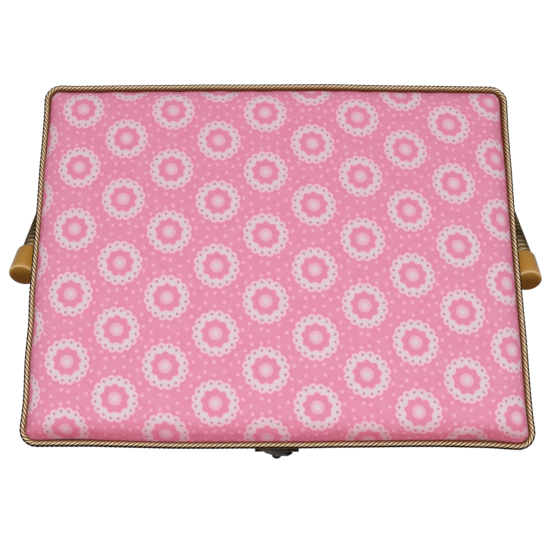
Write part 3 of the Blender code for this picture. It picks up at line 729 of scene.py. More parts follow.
def cord_mat(name, dark, mid, bright, flank=0.2, lit=0.75):
    """Twisted rayon: fine yarns running along each strand, with painted shade where strands meet
    and on the side turned away from the light, and a painted highlight along the crests on top."""
    n = Mat(name)
    u, v, _ = n.xyz(n.uv("UVMap"))
    depth = n.attr("depth")
    lines = n.math("SINE", n.math("ADD", n.math("MULTIPLY", u, TAU / 2.6), n.math("MULTIPLY", v, TAU * 9)))
    lines = n.math("MULTIPLY_ADD", lines, 0.5, 0.5)
    patch = n.noise(n.combine(n.math("MULTIPLY", u, 0.45), n.math("MULTIPLY", v, 3.0), 0.0), 1.0, 3.0)
    slow = n.noise(n.combine(n.math("MULTIPLY", u, 0.05), 0.0, 0.0), 1.0, 2.0)
    w = n.attr("outward")
    # painted shade: dark in the crevices where the strands meet
    col = n.mix(n.step(depth, 0.58, 0.94), dark, mid)
    # painted highlight: bright along the crest of each strand, in a band over the top of the cord
    band = n.math("MULTIPLY", n.step(w, -0.95, -0.08, 0.16, 1.0), n.step(w, 0.14, 0.38, 1.0, 0.1))
    ridge = n.math("MULTIPLY", n.step(depth, 0.74, 0.98), n.math("MULTIPLY_ADD", patch, 1.3, 0.25, clamp=True))
    shine = n.math("MULTIPLY", n.math("MULTIPLY", ridge, band), n.math("MULTIPLY_ADD", slow, 0.7, lit, clamp=True))
    col = n.mix(shine, col, bright)
    # painted shade: the outer side of the twist is darkened, and so, a little, is the side by the cloth
    side = n.math("MULTIPLY", n.step(w, 0.08, 0.40, 1.0, flank), n.step(w, -0.92, -0.25, 0.5, 1.0))
    side = n.math("ADD", side, n.step(w, 0.80, 0.97, 0.0, 0.6))
    col = n.mix(1.0, col, n.combine(side, side, side), "MULTIPLY")
    n.set(
        color=col,
        rough=n.math("MULTIPLY_ADD", patch, 0.2, 0.34),
        spec=n.math("MULTIPLY", side, 0.45),
        metal=0.2,
        normal=n.bump(lines, 0.00015, 0.8),
    )
    return n.m


def tape_mat(name, base):
    """A narrow woven tape."""
    n = Mat(name)
    w = weave(n, "UVMap", 0.6)
    fuzz = n.noise(n.uv("UVMap"), 1.4, 3.0)
    tone = n.math("ADD", n.math("MULTIPLY_ADD", w, 0.5, 0.55), n.math("MULTIPLY", fuzz, 0.3))
    n.set(color=n.mix(1.0, base, n.combine(tone, tone, tone), "MULTIPLY"), rough=0.9, spec=0.1, normal=n.bump(w, 0.0002, 0.8))
    return n.m


def metal_mat(name, base, edge, rough=0.38, dark_ends=False):
    """Darkened bronze plating: cloudy patina, small pits, rubbed brighter on the edges."""
    n = Mat(name)
    p = n.pos()
    cloud = n.noise(p, 260.0, 4.0, 0.6)
    fine = n.noise(p, 1800.0, 3.0, 0.6)
    geo = n.node("NewGeometry")
    edgey = n.step(geo.outputs["Pointiness"], 0.51, 0.57)
    wear = n.math("MULTIPLY", edgey, n.step(cloud, 0.35, 0.65, 0.35, 1.0))
    col = n.mix(n.step(cloud, 0.4, 0.7), base, mix_rgb(base, edge, 0.22))
    col = n.mix(wear, col, edge)
    spec, metal = 0.3, 0.6
    if dark_ends:
        # blackest towards the ends of the bar and on the right of the leaf
        x, _, _ = n.xyz(p)
        black = n.math("MAXIMUM", n.step(x, -0.0055, -0.0110), n.step(x, 0.0030, 0.0085))
        end_tone = n.math("MULTIPLY_ADD", black, -0.85, 1.0)
        col = n.mix(1.0, col, n.combine(end_tone, end_tone, end_tone), "MULTIPLY")
        spec, metal = n.math("MULTIPLY", end_tone, 0.3), n.math("MULTIPLY", end_tone, 0.6)
    n.set(
        color=col,
        metal=metal,
        spec=spec,
        rough=n.math("MULTIPLY_ADD", fine, 0.25, rough - 0.1),
        normal=n.bump(n.math("ADD", n.math("MULTIPLY", cloud, 0.6), n.math("MULTIPLY", fine, 0.4)), 0.00012, 0.5),
    )
    return n.m


def plastic_mat(name, base, rough, mottling=0.06, bump=0.00003, sss=0.0, coat=0.0, darker=None):
    n = Mat(name)
    p = n.pos()
    cloud = n.noise(p, 90.0, 3.0)
    fine = n.noise(p, 2600.0, 2.0)
    tone = n.math("MULTIPLY_ADD", cloud, 2 * mottling, 1.0 - mottling)
    # painted shade: the barrel darker towards the shoulder and on its flanks
    if darker is not None:
        tone = n.math("MULTIPLY", tone, n.math("SUBTRACT", 1.0, n.attr("barrel_shade")))
    col = n.mix(1.0, base, n.combine(tone, tone, tone), "MULTIPLY")
    # painted shade on the end face, lighter towards its upper part, and a painted highlight on its rounded edge
    if darker is not None:
        face = n.mix(n.step(n.attr("high"), 0.45, 1.0), darker, mix_rgb(darker, base, 0.62))
        col = n.mix(n.attr("end"), col, face)
        col = n.mix(n.attr("rim"), col, mix_rgb(base, (1.0, 0.86, 0.62), 0.30))
    scuff = n.step(n.noise(n.vec("MULTIPLY", p, (1.0, 4.0, 1.0)), 420.0, 4.0, 0.7), 0.62, 0.75)
    dull = n.attr("end") if darker is not None else 0.0
    n.set(
        color=col,
        rough=n.math("MULTIPLY_ADD", dull, 0.2, n.math("MULTIPLY_ADD", scuff, 0.18, rough)),
        spec=n.math("MULTIPLY_ADD", dull, -0.4, 0.5),
        coat=n.math("MULTIPLY_ADD", dull, -coat, coat),
        coat_rough=0.12,
        sss=sss,
        sss_scale=0.002,
        normal=n.bump(n.math("ADD", cloud, n.math("MULTIPLY", fine, 0.35)), bump, 1.0),
    )
    return n.m


def board_mat(name, base):
    n = Mat(name)
    p = n.pos()
    fib = n.noise(n.vec("MULTIPLY", p, (1.0, 6.0, 1.0)), 500.0, 4.0, 0.65)
    speck = n.step(n.noise(p, 1500.0, 2.0), 0.6, 0.72)
    col = n.mix(fib, mix_rgb(base, (0, 0, 0), 0.15), mix_rgb(base, (1, 1, 1), 0.12))
    col = n.mix(n.math("MULTIPLY", speck, 0.35), col, mix_rgb(base, (0, 0, 0), 0.5))
    n.set(color=col, rough=0.92, spec=0.15, normal=n.bump(fib, 0.00015, 0.6))
    return n.m


def foam_mat(name):
    n = Mat(name)
    p = n.pos()
    vor = n.node("TexVoronoi", feature="F1")
    n.put(vor.inputs["Vector"], p)
    n.put(vor.inputs["Scale"], 900.0)
    cell = vor.outputs["Distance"]
    fluff = n.noise(p, 220.0, 5.0, 0.7)
    col = n.mix(fluff, (0.72, 0.70, 0.62), (0.92, 0.90, 0.84))
    n.set(color=col, rough=0.95, spec=0.1, sheen=0.3, normal=n.bump(n.math("ADD", cell, fluff), 0.0004, 0.7))
    return n.m


def steel_mat(name):
    n = Mat(name)
    p = n.pos()
    brush = n.noise(n.vec("MULTIPLY", p, (6.0, 1.0, 1.0)), 900.0, 3.0)
    cloud = n.noise(p, 300.0, 3.0)
    n.set(
        color=n.mix(cloud, (0.50, 0.50, 0.50), (0.66, 0.65, 0.63)),
        metal=1.0,
        rough=n.math("MULTIPLY_ADD", brush, 0.25, 0.2),
        normal=n.bump(brush, 0.00003, 0.5),
    )
    return n.m


m_cotton = cotton("printed_cotton")
m_satin = satin("satin_lining", srgb(240, 200, 210))
m_cord = cord_mat("lid_cord_rayon", srgb(36, 13, 3), srgb(178, 112, 42), srgb(255, 236, 200), 0.05, 0.85)
m_stay = cord_mat("stay_cord_rayon", srgb(90, 50, 25), srgb(190, 130, 70), srgb(250, 220, 170), 0.7)
m_tape = tape_mat("cord_tape", srgb(128, 46, 32))
m_bronze = metal_mat("antique_bronze", (0.005, 0.0042, 0.0034), (0.10, 0.085, 0.07), 0.42, True)
m_hinge = metal_mat("hinge_bronze", (0.022, 0.018, 0.014), (0.17, 0.145, 0.12))
m_steel = steel_mat("plated_steel")
m_cap = plastic_mat("tan_cap_plastic", srgb(190, 136, 42), 0.3, 0.05, 0.00002, 0.0, 0.25, srgb(112, 66, 14))
m_tray = plastic_mat("tray_plastic", srgb(240, 234, 226), 0.35, 0.02, 0.00004)
m_board = board_mat("greyboard", srgb(170, 150, 124))
m_foam = foam_mat("wadding")


def over(ob, body, *nodes, slot=None):
    """Hang a piece on its body and let it stand for CAD nodes."""
    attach(ob, body)
    if nodes:
        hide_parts(*nodes)
    return ob


def paint(mat, *nodes):
    for nname in nodes:
        ob = frame["nodes"][nname]
        ob.data.materials.clear()
        ob.data.materials.append(mat)


# ============================================================ the padded lid

HX = dome_hi[0] + 1.45  # the cloth bulges over its foot, up to the cord
HY, HY_BACK = dome_hi[1] + 1.2, dome_hi[1] + 0.45
FOOT_Z = dome_lo[2] + 0.8
TOP_Z = dome_hi[2] + 0.4
CROWN = 0.7
CORNER = 5.5


def roll_profile(table, total):
    """The padded edge from (inset, slope in degrees): arc length against inset and height."""
    d = np.linspace(0, 16, 400)
    t = np.array(table, float)
    z = np.concatenate([[0], np.cumsum(np.tan(np.radians(np.interp(d[:-1], t[:, 0], t[:, 1]))) * np.diff(d))])
    lift = max(total - z[-1], 1.2)  # the upright part, behind the cord, bulging over its foot
    z = np.concatenate([[0, lift * 0.55], z + lift]) * (total / (z[-1] + lift))
    d = np.concatenate([[1.0, 0.25], d])
    d, z = np.append(d, 170.0), np.append(z, z[-1])
    s = np.concatenate([[0], np.cumsum(np.hypot(np.diff(d), np.diff(z)))])
    return s, d, z


HIGH = TOP_Z - CROWN - FOOT_Z
FRONT = roll_profile(((0, 62), (0.8, 60), (4.0, 59), (4.8, 54), (6.0, 44), (8.0, 27), (10.4, 14), (13.0, 5), (16, 0)), HIGH)
BACK = roll_profile(((0, 72), (0.8, 60), (2.0, 46), (4.0, 30), (6.0, 18), (8.5, 12), (12, 6), (16, 0)), HIGH)
SIDE = roll_profile(((0, 72), (0.8, 62), (1.8, 52), (2.9, 42), (4.2, 30), (6.0, 24), (8.0, 17), (10.5, 9), (13, 4), (16, 0)), HIGH)


def extra(roll):
    """Cloth taken up by a roll, beyond its width."""
    return roll[0][-1] - roll[1][-1]


U_MAX = HX + extra(SIDE)
V_FRONT, V_BACK = HY + extra(FRONT), HY_BACK + extra(BACK)


def lid_surface(u, v, off=0.0):
    """Cloth place (mm, from the middle) to a place on the padded lid, rounded at the corners."""
    a = U_MAX - np.abs(u)
    front = v < 0
    b = np.where(front, V_FRONT, V_BACK) - np.abs(v)
    x = HX - np.interp(a, SIDE[0], SIDE[1])
    edge_y = np.where(front, HY, HY_BACK)
    y = edge_y - np.where(front, np.interp(b, FRONT[0], FRONT[1]), np.interp(b, BACK[0], BACK[1]))
    hz = np.interp(a, SIDE[0], SIDE[2]) / HIGH
    vz = np.where(front, np.interp(b, FRONT[0], FRONT[2]), np.interp(b, BACK[0], BACK[2])) / HIGH
    k = 2.6
    z = HIGH * (1 - ((1 - hz) ** k + (1 - vz) ** k) ** (1 / k)).clip(0, 1)
    # the corners of the outline are turned to arcs
    r = CORNER
    px, py = x - (HX - r), y - (edge_y - r)
    inside = (px > 0) & (py > 0)
    ln = np.hypot(px, py)
    f = np.where(inside, np.maximum(px, py) / np.maximum(ln, 1e-9), 1.0)
    x = np.where(inside, HX - r + px * f, x)
    y = np.where(inside, edge_y - r + py * f, y)
    z = FOOT_Z + z + CROWN * (1 - (x / HX) ** 2) * (1 - (y / edge_y) ** 2)
    return np.sign(u) * x, np.sign(v) * y, z - off


# The trim was sewn on by hand: how far (mm) each side strays outward along its length.
STRAY = {
    "back": ((-152, -0.4), (-143, -0.8), (-134, -1.4), (-122, -1.2), (-96, -0.8), (-70, -0.5), (-43, -0.1), (-17, -0.1), (9, 0.2), (35, 0.4), (61, -0.15), (87, -0.5), (113, -0.7), (139, -1.1), (152, -1.0)),
    "front": ((-152, 0.2), (-125, 0.0), (-107, -0.1), (-84, 0.4), (-61, 0.9), (-38, 0.9), (-18, 0.7), (20, 0.5), (31, 0.15), (54, -0.05), (78, -0.4), (101, -0.45), (112, -0.1), (124, 0.05), (135, 0.9), (143, 1.3), (152, 1.3)),
    "left": ((-118, -0.4), (-106, -0.7), (-100, -1.2), (-88, -1.6), (-77, -1.1), (-65, -0.5), (-53, -0.65), (-41, -0.9), (-28, 0.0), (32, -0.1), (55, 0.25), (69, 0.1), (93, 0.1), (104, 0.6), (118, 0.6)),
    "right": ((-118, 1.2), (-105, 1.1), (-99, 0.45), (-87, 0.2), (-64, 0.1), (-52, 0.2), (-28, -0.25), (0, -0.7), (33, -1.0), (56, -0.85), (70, -1.0), (84, -1.0), (94, -0.7), (101, -0.5), (118, -0.3)),
}
# and how much further out (mm) the cloth's own edge reaches over the trim
CLOTH_STRAY = {
    "back": ((-152, -0.35), (152, -0.35)),
    "front": ((-152, 0.6), (-130, 0.1), (-120, -0.3), (-106, 0.2), (-80, 0.65), (80, 0.5), (104, 0.2), (118, -0.5), (128, -0.5), (136, 0.1), (152, 0.5)),
    "left": ((-118, 0.5), (60, 0.5), (100, -0.5), (118, -0.8)),
    "right": ((-118, -0.1), (40, 0.0), (90, -0.9), (118, -1.2)),
}


def stray_tables(source):
    out_ = {}
    for k, t in source.items():
        t = np.array(t, float)
        grid = np.arange(-160, 161, 1.0)
        val = np.interp(grid, t[:, 0], t[:, 1])
        w = np.exp(-((np.arange(-12, 13) / 5.0) ** 2))
        val = np.convolve(np.pad(val, 12, "edge"), w / w.sum(), "valid")
        out_[k] = (grid, val)
    return out_


STRAY_T, CLOTH_T = stray_tables(STRAY), stray_tables(CLOTH_STRAY)


def wander(x, y, cloth=False):
    """Sideways offsets (mm) of points near the rim."""
    def side(v, half):
        t = np.clip((np.abs(v) - (half - 21.0)) / 20.0, 0, 1)
        return t * t * (3 - 2 * t)

    def table(name, at):
        val = np.interp(at, *STRAY_T[name])
        return val + np.interp(at, *CLOTH_T[name]) if cloth else val

    kx, ky = side(x, HX), side(y, HY)
    dx = kx * np.where(x > 0, table("right", y), -table("left", y))
    dy = ky * np.where(y > 0, table("back", x), -table("front", x))
    return dx, dy


PLACE_I = (0.2147, 3.3831, 0.0117, 0.0019, 0.0098, -0.0008, 0.0335, 0.0029, 0.0316, 0.0254)
PLACE_J = (-0.5168, 0.1807, 4.8695, 0.0600, 0.0074, 0.0256, 0.0318, 0.0570, 0.0068, 0.0785)


def print_place(x, y):
    """Where the print's own cell lies under a point of the cloth: the cloth was cut a
    little off the straight, and its edges are pulled down."""
    u, v = x / 100, y / 100
    t = (1, u, v, u * u, u * v, v * v, u**3, u * u * v, u * v * v, v**3)
    i = sum(c * k for c, k in zip(PLACE_I, t))
    j = sum(c * k for c, k in zip(PLACE_J, t))
    return i * 29.7, j * 20.7


def lid_grid(nu, nv, off=0.0, name="lid_top", mats=(), noise=True):
    def spread(n, lo, hi):
        t = np.linspace(-1, 1, n)
        # closer together near the edges, where the cloth turns down
        t = 0.72 * t + 0.28 * np.sin(t * math.pi / 2)
        return (lo + hi) / 2 + (hi - lo) / 2 * t

    us, vs = spread(nu, -U_MAX, U_MAX), spread(nv, -V_FRONT, V_BACK)
    uu, vv = np.meshgrid(us, vs, indexing="ij")
    x, y, z = lid_surface(uu, vv, off)
    if noise:
        a = U_MAX - np.abs(uu)
        b = np.where(vv < 0, V_FRONT, V_BACK) - np.abs(vv)
        e = np.minimum(a, b)
        q = np.stack([uu.ravel(), vv.ravel()], -1)
        # long soft hollows just inside the edge, where the cloth is drawn down
        nf = vnoise(q * [0.55, 1.6], 17.0, 3).reshape(uu.shape)
        ns = vnoise(q * [1.6, 0.55], 17.0, 5).reshape(uu.shape)
        front = np.exp(-(((b - 15.0) / 5.0) ** 2)) * (vv < 0)
        back = np.exp(-(((b - 14.0) / 5.0) ** 2)) * (vv > 0)
        sides = np.exp(-(((a - 14.0) / 5.0) ** 2))
        z -= 0.8 * front * np.clip(nf + 0.25, 0, 1) + 0.3 * back * np.clip(nf, 0, 1) + 0.3 * sides * np.clip(ns, 0, 1)
        # gentle unevenness of the wadding
        z += 0.30 * vnoise(q, 46.0, 8).reshape(uu.shape) * np.clip(e / 14.0, 0, 1)
        z += 0.10 * vnoise(q, 15.0, 9).reshape(uu.shape) * np.clip(e / 10.0, 0, 1)
        # pull marks square to the edge, on the steep part of the roll
        pull = np.sin(uu * TAU / 21.0 + 1.7 * vnoise(q, 30.0, 11).reshape(uu.shape))
        z += 0.16 * pull * np.exp(-(((b - 6.5) / 3.6) ** 2)) * np.clip(a / 14, 0, 1)
        pull2 = np.sin(vv * TAU / 23.0 + 1.7 * vnoise(q, 30.0, 12).reshape(uu.shape))
        z += 0.13 * pull2 * np.exp(-(((a - 6.5) / 3.6) ** 2)) * np.clip(b / 14, 0, 1)
    dx, dy = wander(x, y, True)
    x, y = x + dx, y + dy
    px, py = print_place(uu + dx, vv + dy)
    co = np.stack([x, y, z], -1).reshape(-1, 3)
    f = grid_faces(nu, nv)
    uvp = np.stack([px.ravel(), py.ravel()], -1)
    uv = uvp[f.ravel()]
    cl = np.stack([uu.ravel(), vv.ravel()], -1)[f.ravel()]
    ob = build(name, co, [f], uv=uv, uv2=cl, mats=mats)
    return ob, (us, vs)


def settle(ob, pinned, frames_=14, pressure=0.0, goal=0.25, shrink=0.0, mass=0.3, gravity=0.0, cap=None, tension=15.0, bending=0.5, selfc=False):
    """Cloth simulation of a piece between its pinned points, with its result applied.
    pinned: weight of each point, 1 held fast; others are drawn to their place by goal."""
    before = np.zeros(len(ob.data.vertices) * 3, np.float32)
    ob.data.vertices.foreach_get("co", before)
    before = before.reshape(-1, 3).copy()
    g = ob.vertex_groups.new(name="pin")
    w = np.clip(np.maximum(pinned, goal), 0, 1)
    for k in np.unique(np.round(w, 3)):
        idx = np.nonzero(np.abs(np.round(w, 3) - k) < 1e-6)[0]
        g.add(idx.tolist(), float(k), "REPLACE")
    # simulated ten times as large, where the solver's own tolerances are small
    big = 10.0
    ob.data.transform(Matrix.Scale(big, 4))
    m = ob.modifiers.new("cloth", "CLOTH")
    st = m.settings
    st.vertex_group_mass = "pin"
    st.quality = 6
    st.mass = mass
    st.tension_stiffness = tension
    st.compression_stiffness = tension
    st.shear_stiffness = 8.0
    st.bending_stiffness = bending
    st.pin_stiffness = 1.0
    st.shrink_min = shrink
    if pressure:
        st.use_pressure = True
        st.uniform_pressure_force = pressure
    st.effector_weights.gravity = gravity
    m.collision_settings.use_collision = False
    m.collision_settings.use_self_collision = selfc
    m.point_cache.frame_start = 1
    m.point_cache.frame_end = frames_ + 1
    scene.frame_start, scene.frame_end = 1, frames_ + 1
    for f in range(1, frames_ + 1):
        scene.frame_set(f)
    dg = bpy.context.evaluated_depsgraph_get()
    ev = ob.evaluated_get(dg)
    after = np.zeros(len(ob.data.vertices) * 3, np.float32)
    me = ev.to_mesh()
    me.vertices.foreach_get("co", after)
    ev.to_mesh_clear()
    after = after.reshape(-1, 3) / big
    ob.modifiers.clear()
    scene.frame_set(1)
    delta = after - before
    if cap is not None:
        ln = np.linalg.norm(delta, axis=1)
        lim = cap * MM
        f = np.where(ln > lim, lim / np.maximum(ln, 1e-12), 1.0)
        delta *= f[:, None]
    delta[~np.isfinite(delta)] = 0
    ob.data.vertices.foreach_set("co", (before + delta).ravel().astype(np.float32))
    ob.vertex_groups.clear()
    ob.data.update()
    return ob


nu, nv = 112, 86
lid, (us, vs) = lid_grid(nu, nv, 0.0, "lid_top_cloth", (m_cotton,))
edge = np.zeros((nu, nv))
edge[0, :] = edge[-1, :] = edge[:, 0] = edge[:, -1] = 1
settle(lid, edge.ravel(), 14, pressure=1.2, goal=0.35, cap=1.6, shrink=-0.004)


bm = bmesh.new()
bm.from_mesh(lid.data)
bm.verts.ensure_lookup_table()
border = [e for e in bm.edges if e.is_boundary]
ext = bmesh.ops.extrude_edge_only(bm, edges=border)
new = [g for g in ext["geom"] if isinstance(g, bmesh.types.BMVert)]
for vtx in new:
    vtx.co.z -= 0.9 * MM
    vtx.co.x *= (HX - 0.05) / HX
    vtx.co.y *= (HY - 0.05) / HY
bm.to_mesh(lid.data)
bm.free()
lid.data.shade_smooth()
sol = lid.modifiers.new("thick", "SOLIDIFY")
sol.thickness = 0.55 * MM
sol.offset = -1
apply_modifiers(lid)
subsurf(lid, 1)
over(lid, "lid", "lid_cover", slot="printed_cotton")

pad, _ = lid_grid(64, 50, 1.05, "lid_wadding", (m_foam,), noise=False)
sol = pad.modifiers.new("thick", "SOLIDIFY")
sol.thickness = 3.0 * MM
sol.offset = -1
apply_modifiers(pad)
pc = np.zeros(len(pad.data.vertices) * 3, np.float32)
pad.data.vertices.foreach_get("co", pc)
pc = pc.reshape(-1, 3)
foot = dome_lo[2] * MM + 3.1 * MM
pc[:, 2] = np.maximum(pc[:, 2], foot)
pc[:, 0] *= (HX - 1.2) / HX
pc[:, 1] *= (HY - 1.2) / HY
pad.data.vertices.foreach_set("co", pc.ravel())
pad.data.update()
over(pad, "lid", "lid_padding", slot="foam_pad")

# the cord round the lid, and the narrow tape it is sewn on by
EDGE_R = 1.9
ex, ey = cord_hi[0] - EDGE_R, cord_hi[1] - EDGE_R
path = rrect(ex, ey, 9.4, 16, 3.0)
path = np.column_stack([path, np.full(len(path), CORD_Z + 0.25)])
path, _ = resample(path, 1.5)
path[:, 2] += 0.10 * vnoise(path[:, :2], 22.0, 4)
dx, dy = wander(path[:, 0], path[:, 1])
path[:, 0] += dx
path[:, 1] += dy
cord = rope("lid_edge_cord", path, EDGE_R, 14.0, 5, 0.42, 12, True, (0, 0, 1), (m_cord,), -1)
over(cord, "lid", "lid_cord", slot="trim_cord")

out, _ = resample(rrect(ex - 1.2, ey - 1.2, 8.2, 12, 3.0), 2.0)
dx, dy = wander(out[:, 0], out[:, 1])
out = out + np.column_stack([dx, dy])
nrm = normals2d(out)
rows = [(1.3, -1.2), (1.0, -0.3), (0.0, -0.15), (-1.0, -0.35), (-1.3, -1.2), (0.0, -1.6)]
P = np.stack([np.column_stack([out + nrm * o, np.full(len(out), CORD_Z + h)]) for o, h in rows], 1)
tape = build(
    "lid_cord_tape", P.reshape(-1, 3), [grid_faces(len(out), len(rows), True, True)],
    uv=grid_uv(arclen(out), np.arange(len(rows) + 1) * 0.8), closed=True, mats=(m_tape,),
)
over(tape, "lid", slot="trim_cord")

# ============================================================ cloth on the lid's side


def wrap_band(name, hx, hy, r, z0, z1, rows, mats, bulge, seam_y=1, thick=0.5, hem0=None, hem1=None, seed=0, uv0=0.0, ripple=0.12, pattern=True):
    """Cloth wrapped round four sides in rows from z0 to z1, bulging outward, edges turned in."""
    out = rrect(hx, hy, r, 10, 3.0)
    # start at the middle of the back, where the ends of the cloth meet
    k = int(np.argmin(np.abs(out[:, 0]) + np.where(out[:, 1] > 0, 0, 1e3)))
    out = np.roll(out, -k, 0)
    out, length = resample(out, 2.0)
    nrm = normals2d(out)
    s = arclen(out)
    n = len(out)
    levels = []
    zs = np.linspace(z0, z1, rows)
    for row, z in enumerate(zs):
        t = row / (rows - 1)
        o = bulge * math.sin(math.pi * t)
        q = np.stack([s[:-1], np.full(n, z)], -1)
        o = o + ripple * vnoise(q * [1.0, 0.45], 24.0, seed) * math.sin(math.pi * min(1, t * 1.0)) ** 0.5
        o = o + 0.06 * vnoise(q, 8.0, seed + 1)
        pts = out + nrm * (np.asarray(o) - 0.35)[:, None]
        levels.append(np.column_stack([pts, np.full(n, z)]))
    P = np.stack(levels, 1)  # (around, up, 3)
    # turn both edges in over the board
    edges_lo = []
    for t in (0.25, 0.55, 0.8, 1.0):
        a = t * math.pi / 2
        inn = 0.7 * (1 - math.cos(a)) + 0.0
        dn = 0.7 * math.sin(a)
        edges_lo.append(np.column_stack([P[:, 0, :2] - nrm * inn, P[:, 0, 2] - dn]))
    tail = [np.column_stack([P[:, 0, :2] - nrm * (0.7 + k), np.full(n, z0 - 0.7)]) for k in (0.8,)]
    lo_rows = (edges_lo + tail)[::-1]
    hi_rows = []
    for t in (0.25, 0.55, 0.8, 1.0):
        a = t * math.pi / 2
        inn = 0.7 * (1 - math.cos(a))
        up = 0.7 * math.sin(a)
        hi_rows.append(np.column_stack([P[:, -1, :2] - nrm * inn, P[:, -1, 2] + up]))
    hi_rows += [np.column_stack([P[:, -1, :2] - nrm * 1.5, np.full(n, z1 + 0.7)])]
    P = np.concatenate([np.stack(lo_rows, 1), P, np.stack(hi_rows, 1)], 1)
    # inner face, so the piece is one closed skin
    inner = [np.column_stack([out - nrm * 1.45, np.full(n, z)]) for z in (z1 + 0.45, (z0 + z1) / 2, z0 - 0.45)]
    P = np.concatenate([P, np.stack(inner, 1)], 1)
    m = P.shape[1]
    hgt = np.concatenate([[0], np.cumsum(np.linalg.norm(np.diff(P.mean(0), axis=0), axis=1))])
    hh = P[0, :, 2].copy()
    seg = np.linalg.norm(np.diff(np.concatenate([P[0], P[0][:1]]), axis=0), axis=1)
    vv = np.concatenate([[0], np.cumsum(seg)])
    faces = grid_faces(n, m, True, True)
    uv = grid_uv(s, vv + uv0)
    return build(name, P.reshape(-1, 3), [faces], uv=uv, closed=True, mats=mats)


band = wrap_band(
    "lid_side_cloth", band_hi[0], band_hi[1], 9.5, band_lo[2] + 0.75, band_hi[2] - 0.3, 6, (m_cotton,), 0.35, seed=21, uv0=7.0
)
over(band, "lid", "lid_band_cover", slot="printed_cotton")
body = wrap_band(
    "body_side_cloth", body_hi[0], body_hi[1], 14.0, body_lo[2] + 0.75, body_hi[2] - 0.75, 46, (m_cotton,), 0.3, seed=31, uv0=3.0, ripple=0.3
)
over(body, "box", "body_cover", slot="printed_cotton")

# foot of the box: a cord round the underside, and the cloth under the base
bc_lo, bc_hi = lohi("base_cord")
path = rrect(bc_hi[0] - 2.5, bc_hi[1] - 2.5, 15.6, 16, 3.0)  # drawn tight against the cloth
path = np.column_stack([path, np.full(len(path), (bc_lo[2] + bc_hi[2]) / 2)])
foot_cord = rope("base_edge_cord", path, 1.78, 6.2, 3, 0.55, 8, True, (0, 0, 1), (m_cord,), -1)
over(foot_cord, "box", "base_cord", slot="trim_cord")


def slab(name, hx, hy, r, z0, z1, step, mats, relief=None, edge=0.5, uv_of=None):
    """A closed sheet filling a rounded rectangle: relief(x, y, e) lifts the top, e is the
    distance from the outline."""
    out = rrect(hx, hy, r, 8, step)
    n = len(out)
    nrm = normals2d(out)
    rings = []
    insets = [0.0]
    while insets[-1] + step < min(hx, hy) * 0.985:
        insets.append(insets[-1] + step)
    tops, bots = [], []
    ln = np.abs(out)
    for d in insets:
        f = (min(hx, hy) - d) / min(hx, hy)
        gx, gy = (hx - d) / hx, (hy - d) / hy
        ring_ = out * [gx, gy]
        tops.append(ring_)
    # the last ring closes to a line (or a point), its two sides meeting
    tops.append(out * [(hx - min(hx, hy)) / hx, (hy - min(hx, hy)) / hy])
    insets.append(min(hx, hy))
    P = []
    k = len(tops)
    for q, d in zip(tops[::-1], insets[::-1]):
        P.append(np.column_stack([q, np.full(n, z0)]))
    P.append(np.column_stack([out * [(hx + 0.0) / hx, 1.0], np.full(n, z0 + edge * 0.3)]))
    P.append(np.column_stack([out, np.full(n, z1 - edge * 0.3)]))
    for q, d in zip(tops, insets):
        z = np.full(n, z1)
        if d < edge:
            z = z - 0.0
        if relief is not None:
            z = z + relief(q[:, 0], q[:, 1], np.full(n, d))
        P.append(np.column_stack([q * (1 - 0.0008 * (d == 0)), z]))
    P = np.stack(P, 1)
    m = P.shape[1]
    faces = grid_faces(n, m, True, False)
    co = P.reshape(-1, 3)
    uvp = co[:, :2] if uv_of is None else uv_of(co)
    f = faces
    uv = uvp[f.ravel()]
    ob = build(name, co, [f], uv=uv, closed=True, mats=mats)
    bm = bmesh.new()
    bm.from_mesh(ob.data)
    bmesh.ops.remove_doubles(bm, verts=bm.verts, dist=2e-5)
    for e in [e for e in bm.edges if e.is_boundary]:
        e.tag = True
    bmesh.ops.holes_fill(bm, edges=[e for e in bm.edges if e.tag], sides=0)
    bm.to_mesh(ob.data)
    bm.free()
    return ob


def dimple(x, y, e):
    q = np.stack([x, y], -1)
    return 0.12 * vnoise(q, 18.0, 41) - 0.25 * np.clip(1 - e / 1.2, 0, 1)


under = slab("base_under_cloth", 141.0, 106.5, 12.0, 0.0, 1.0, 3.0, (m_cotton,))
under.data.transform(Matrix.Diagonal((1, 1, 1, 1)))
over(under, "box", "base_cover", slot="printed_cotton")

# ============================================================ the handle


def leg_frame():
    """Handle drawn flat (x across, y along the legs, z away from the box), then laid at rest."""
    return Matrix.Translation((0, 0, PIVOT[2] * MM)) @ Matrix.Rotation(-REST, 4, "X")


def bail(u_right, u_left, per_bend=40, per_crown=80):
    bend_r, bend, straight = 52.0, 78.0, 100.0
    cx = PIVOT_X - bend_r

    def half(u0):
        h = [(PIVOT_X, u0)]
        h += [(PIVOT_X, u0 + (straight - u0) * k / 30) for k in range(1, 30)]
        for k in range(per_bend + 1):
            a = math.radians(bend * k / per_bend)
            h.append((cx + bend_r * math.cos(a), straight + bend_r * math.sin(a)))
        return h

    right_, left_ = half(u_right), half(u_left)
    ex, eu = right_[-1]
    left = math.radians(90.0 - bend)
    cr = ex / math.sin(left)
    cu = eu - cr * math.cos(left)
    crown = []
    for k in range(1, per_crown):
        a = left - 2 * left * k / per_crown
        crown.append((cr * math.sin(a), cu + cr * math.cos(a)))
    path = right_ + crown + [(-x, u) for x, u in reversed(left_)]
    return np.array([(x, u, 0.0) for x, u in path])


WRAP_LEAD = 4.1  # three cords wound side by side
path, wlen = resample(bail(8.0, 11.6), 0.25, False)


def wound(a, s):
    ph = 3 * (s / WRAP_LEAD - a / TAU)
    f = ph - np.floor(ph)
    bumpy = np.sqrt(np.clip(1 - (2 * f - 1) ** 2, 0, 1))
    end = np.clip(np.minimum(s, wlen - s) / 0.8, 0, 1)
    return (5.3 + 0.9 * bumpy) / 6.2 * (0.93 + 0.07 * end)


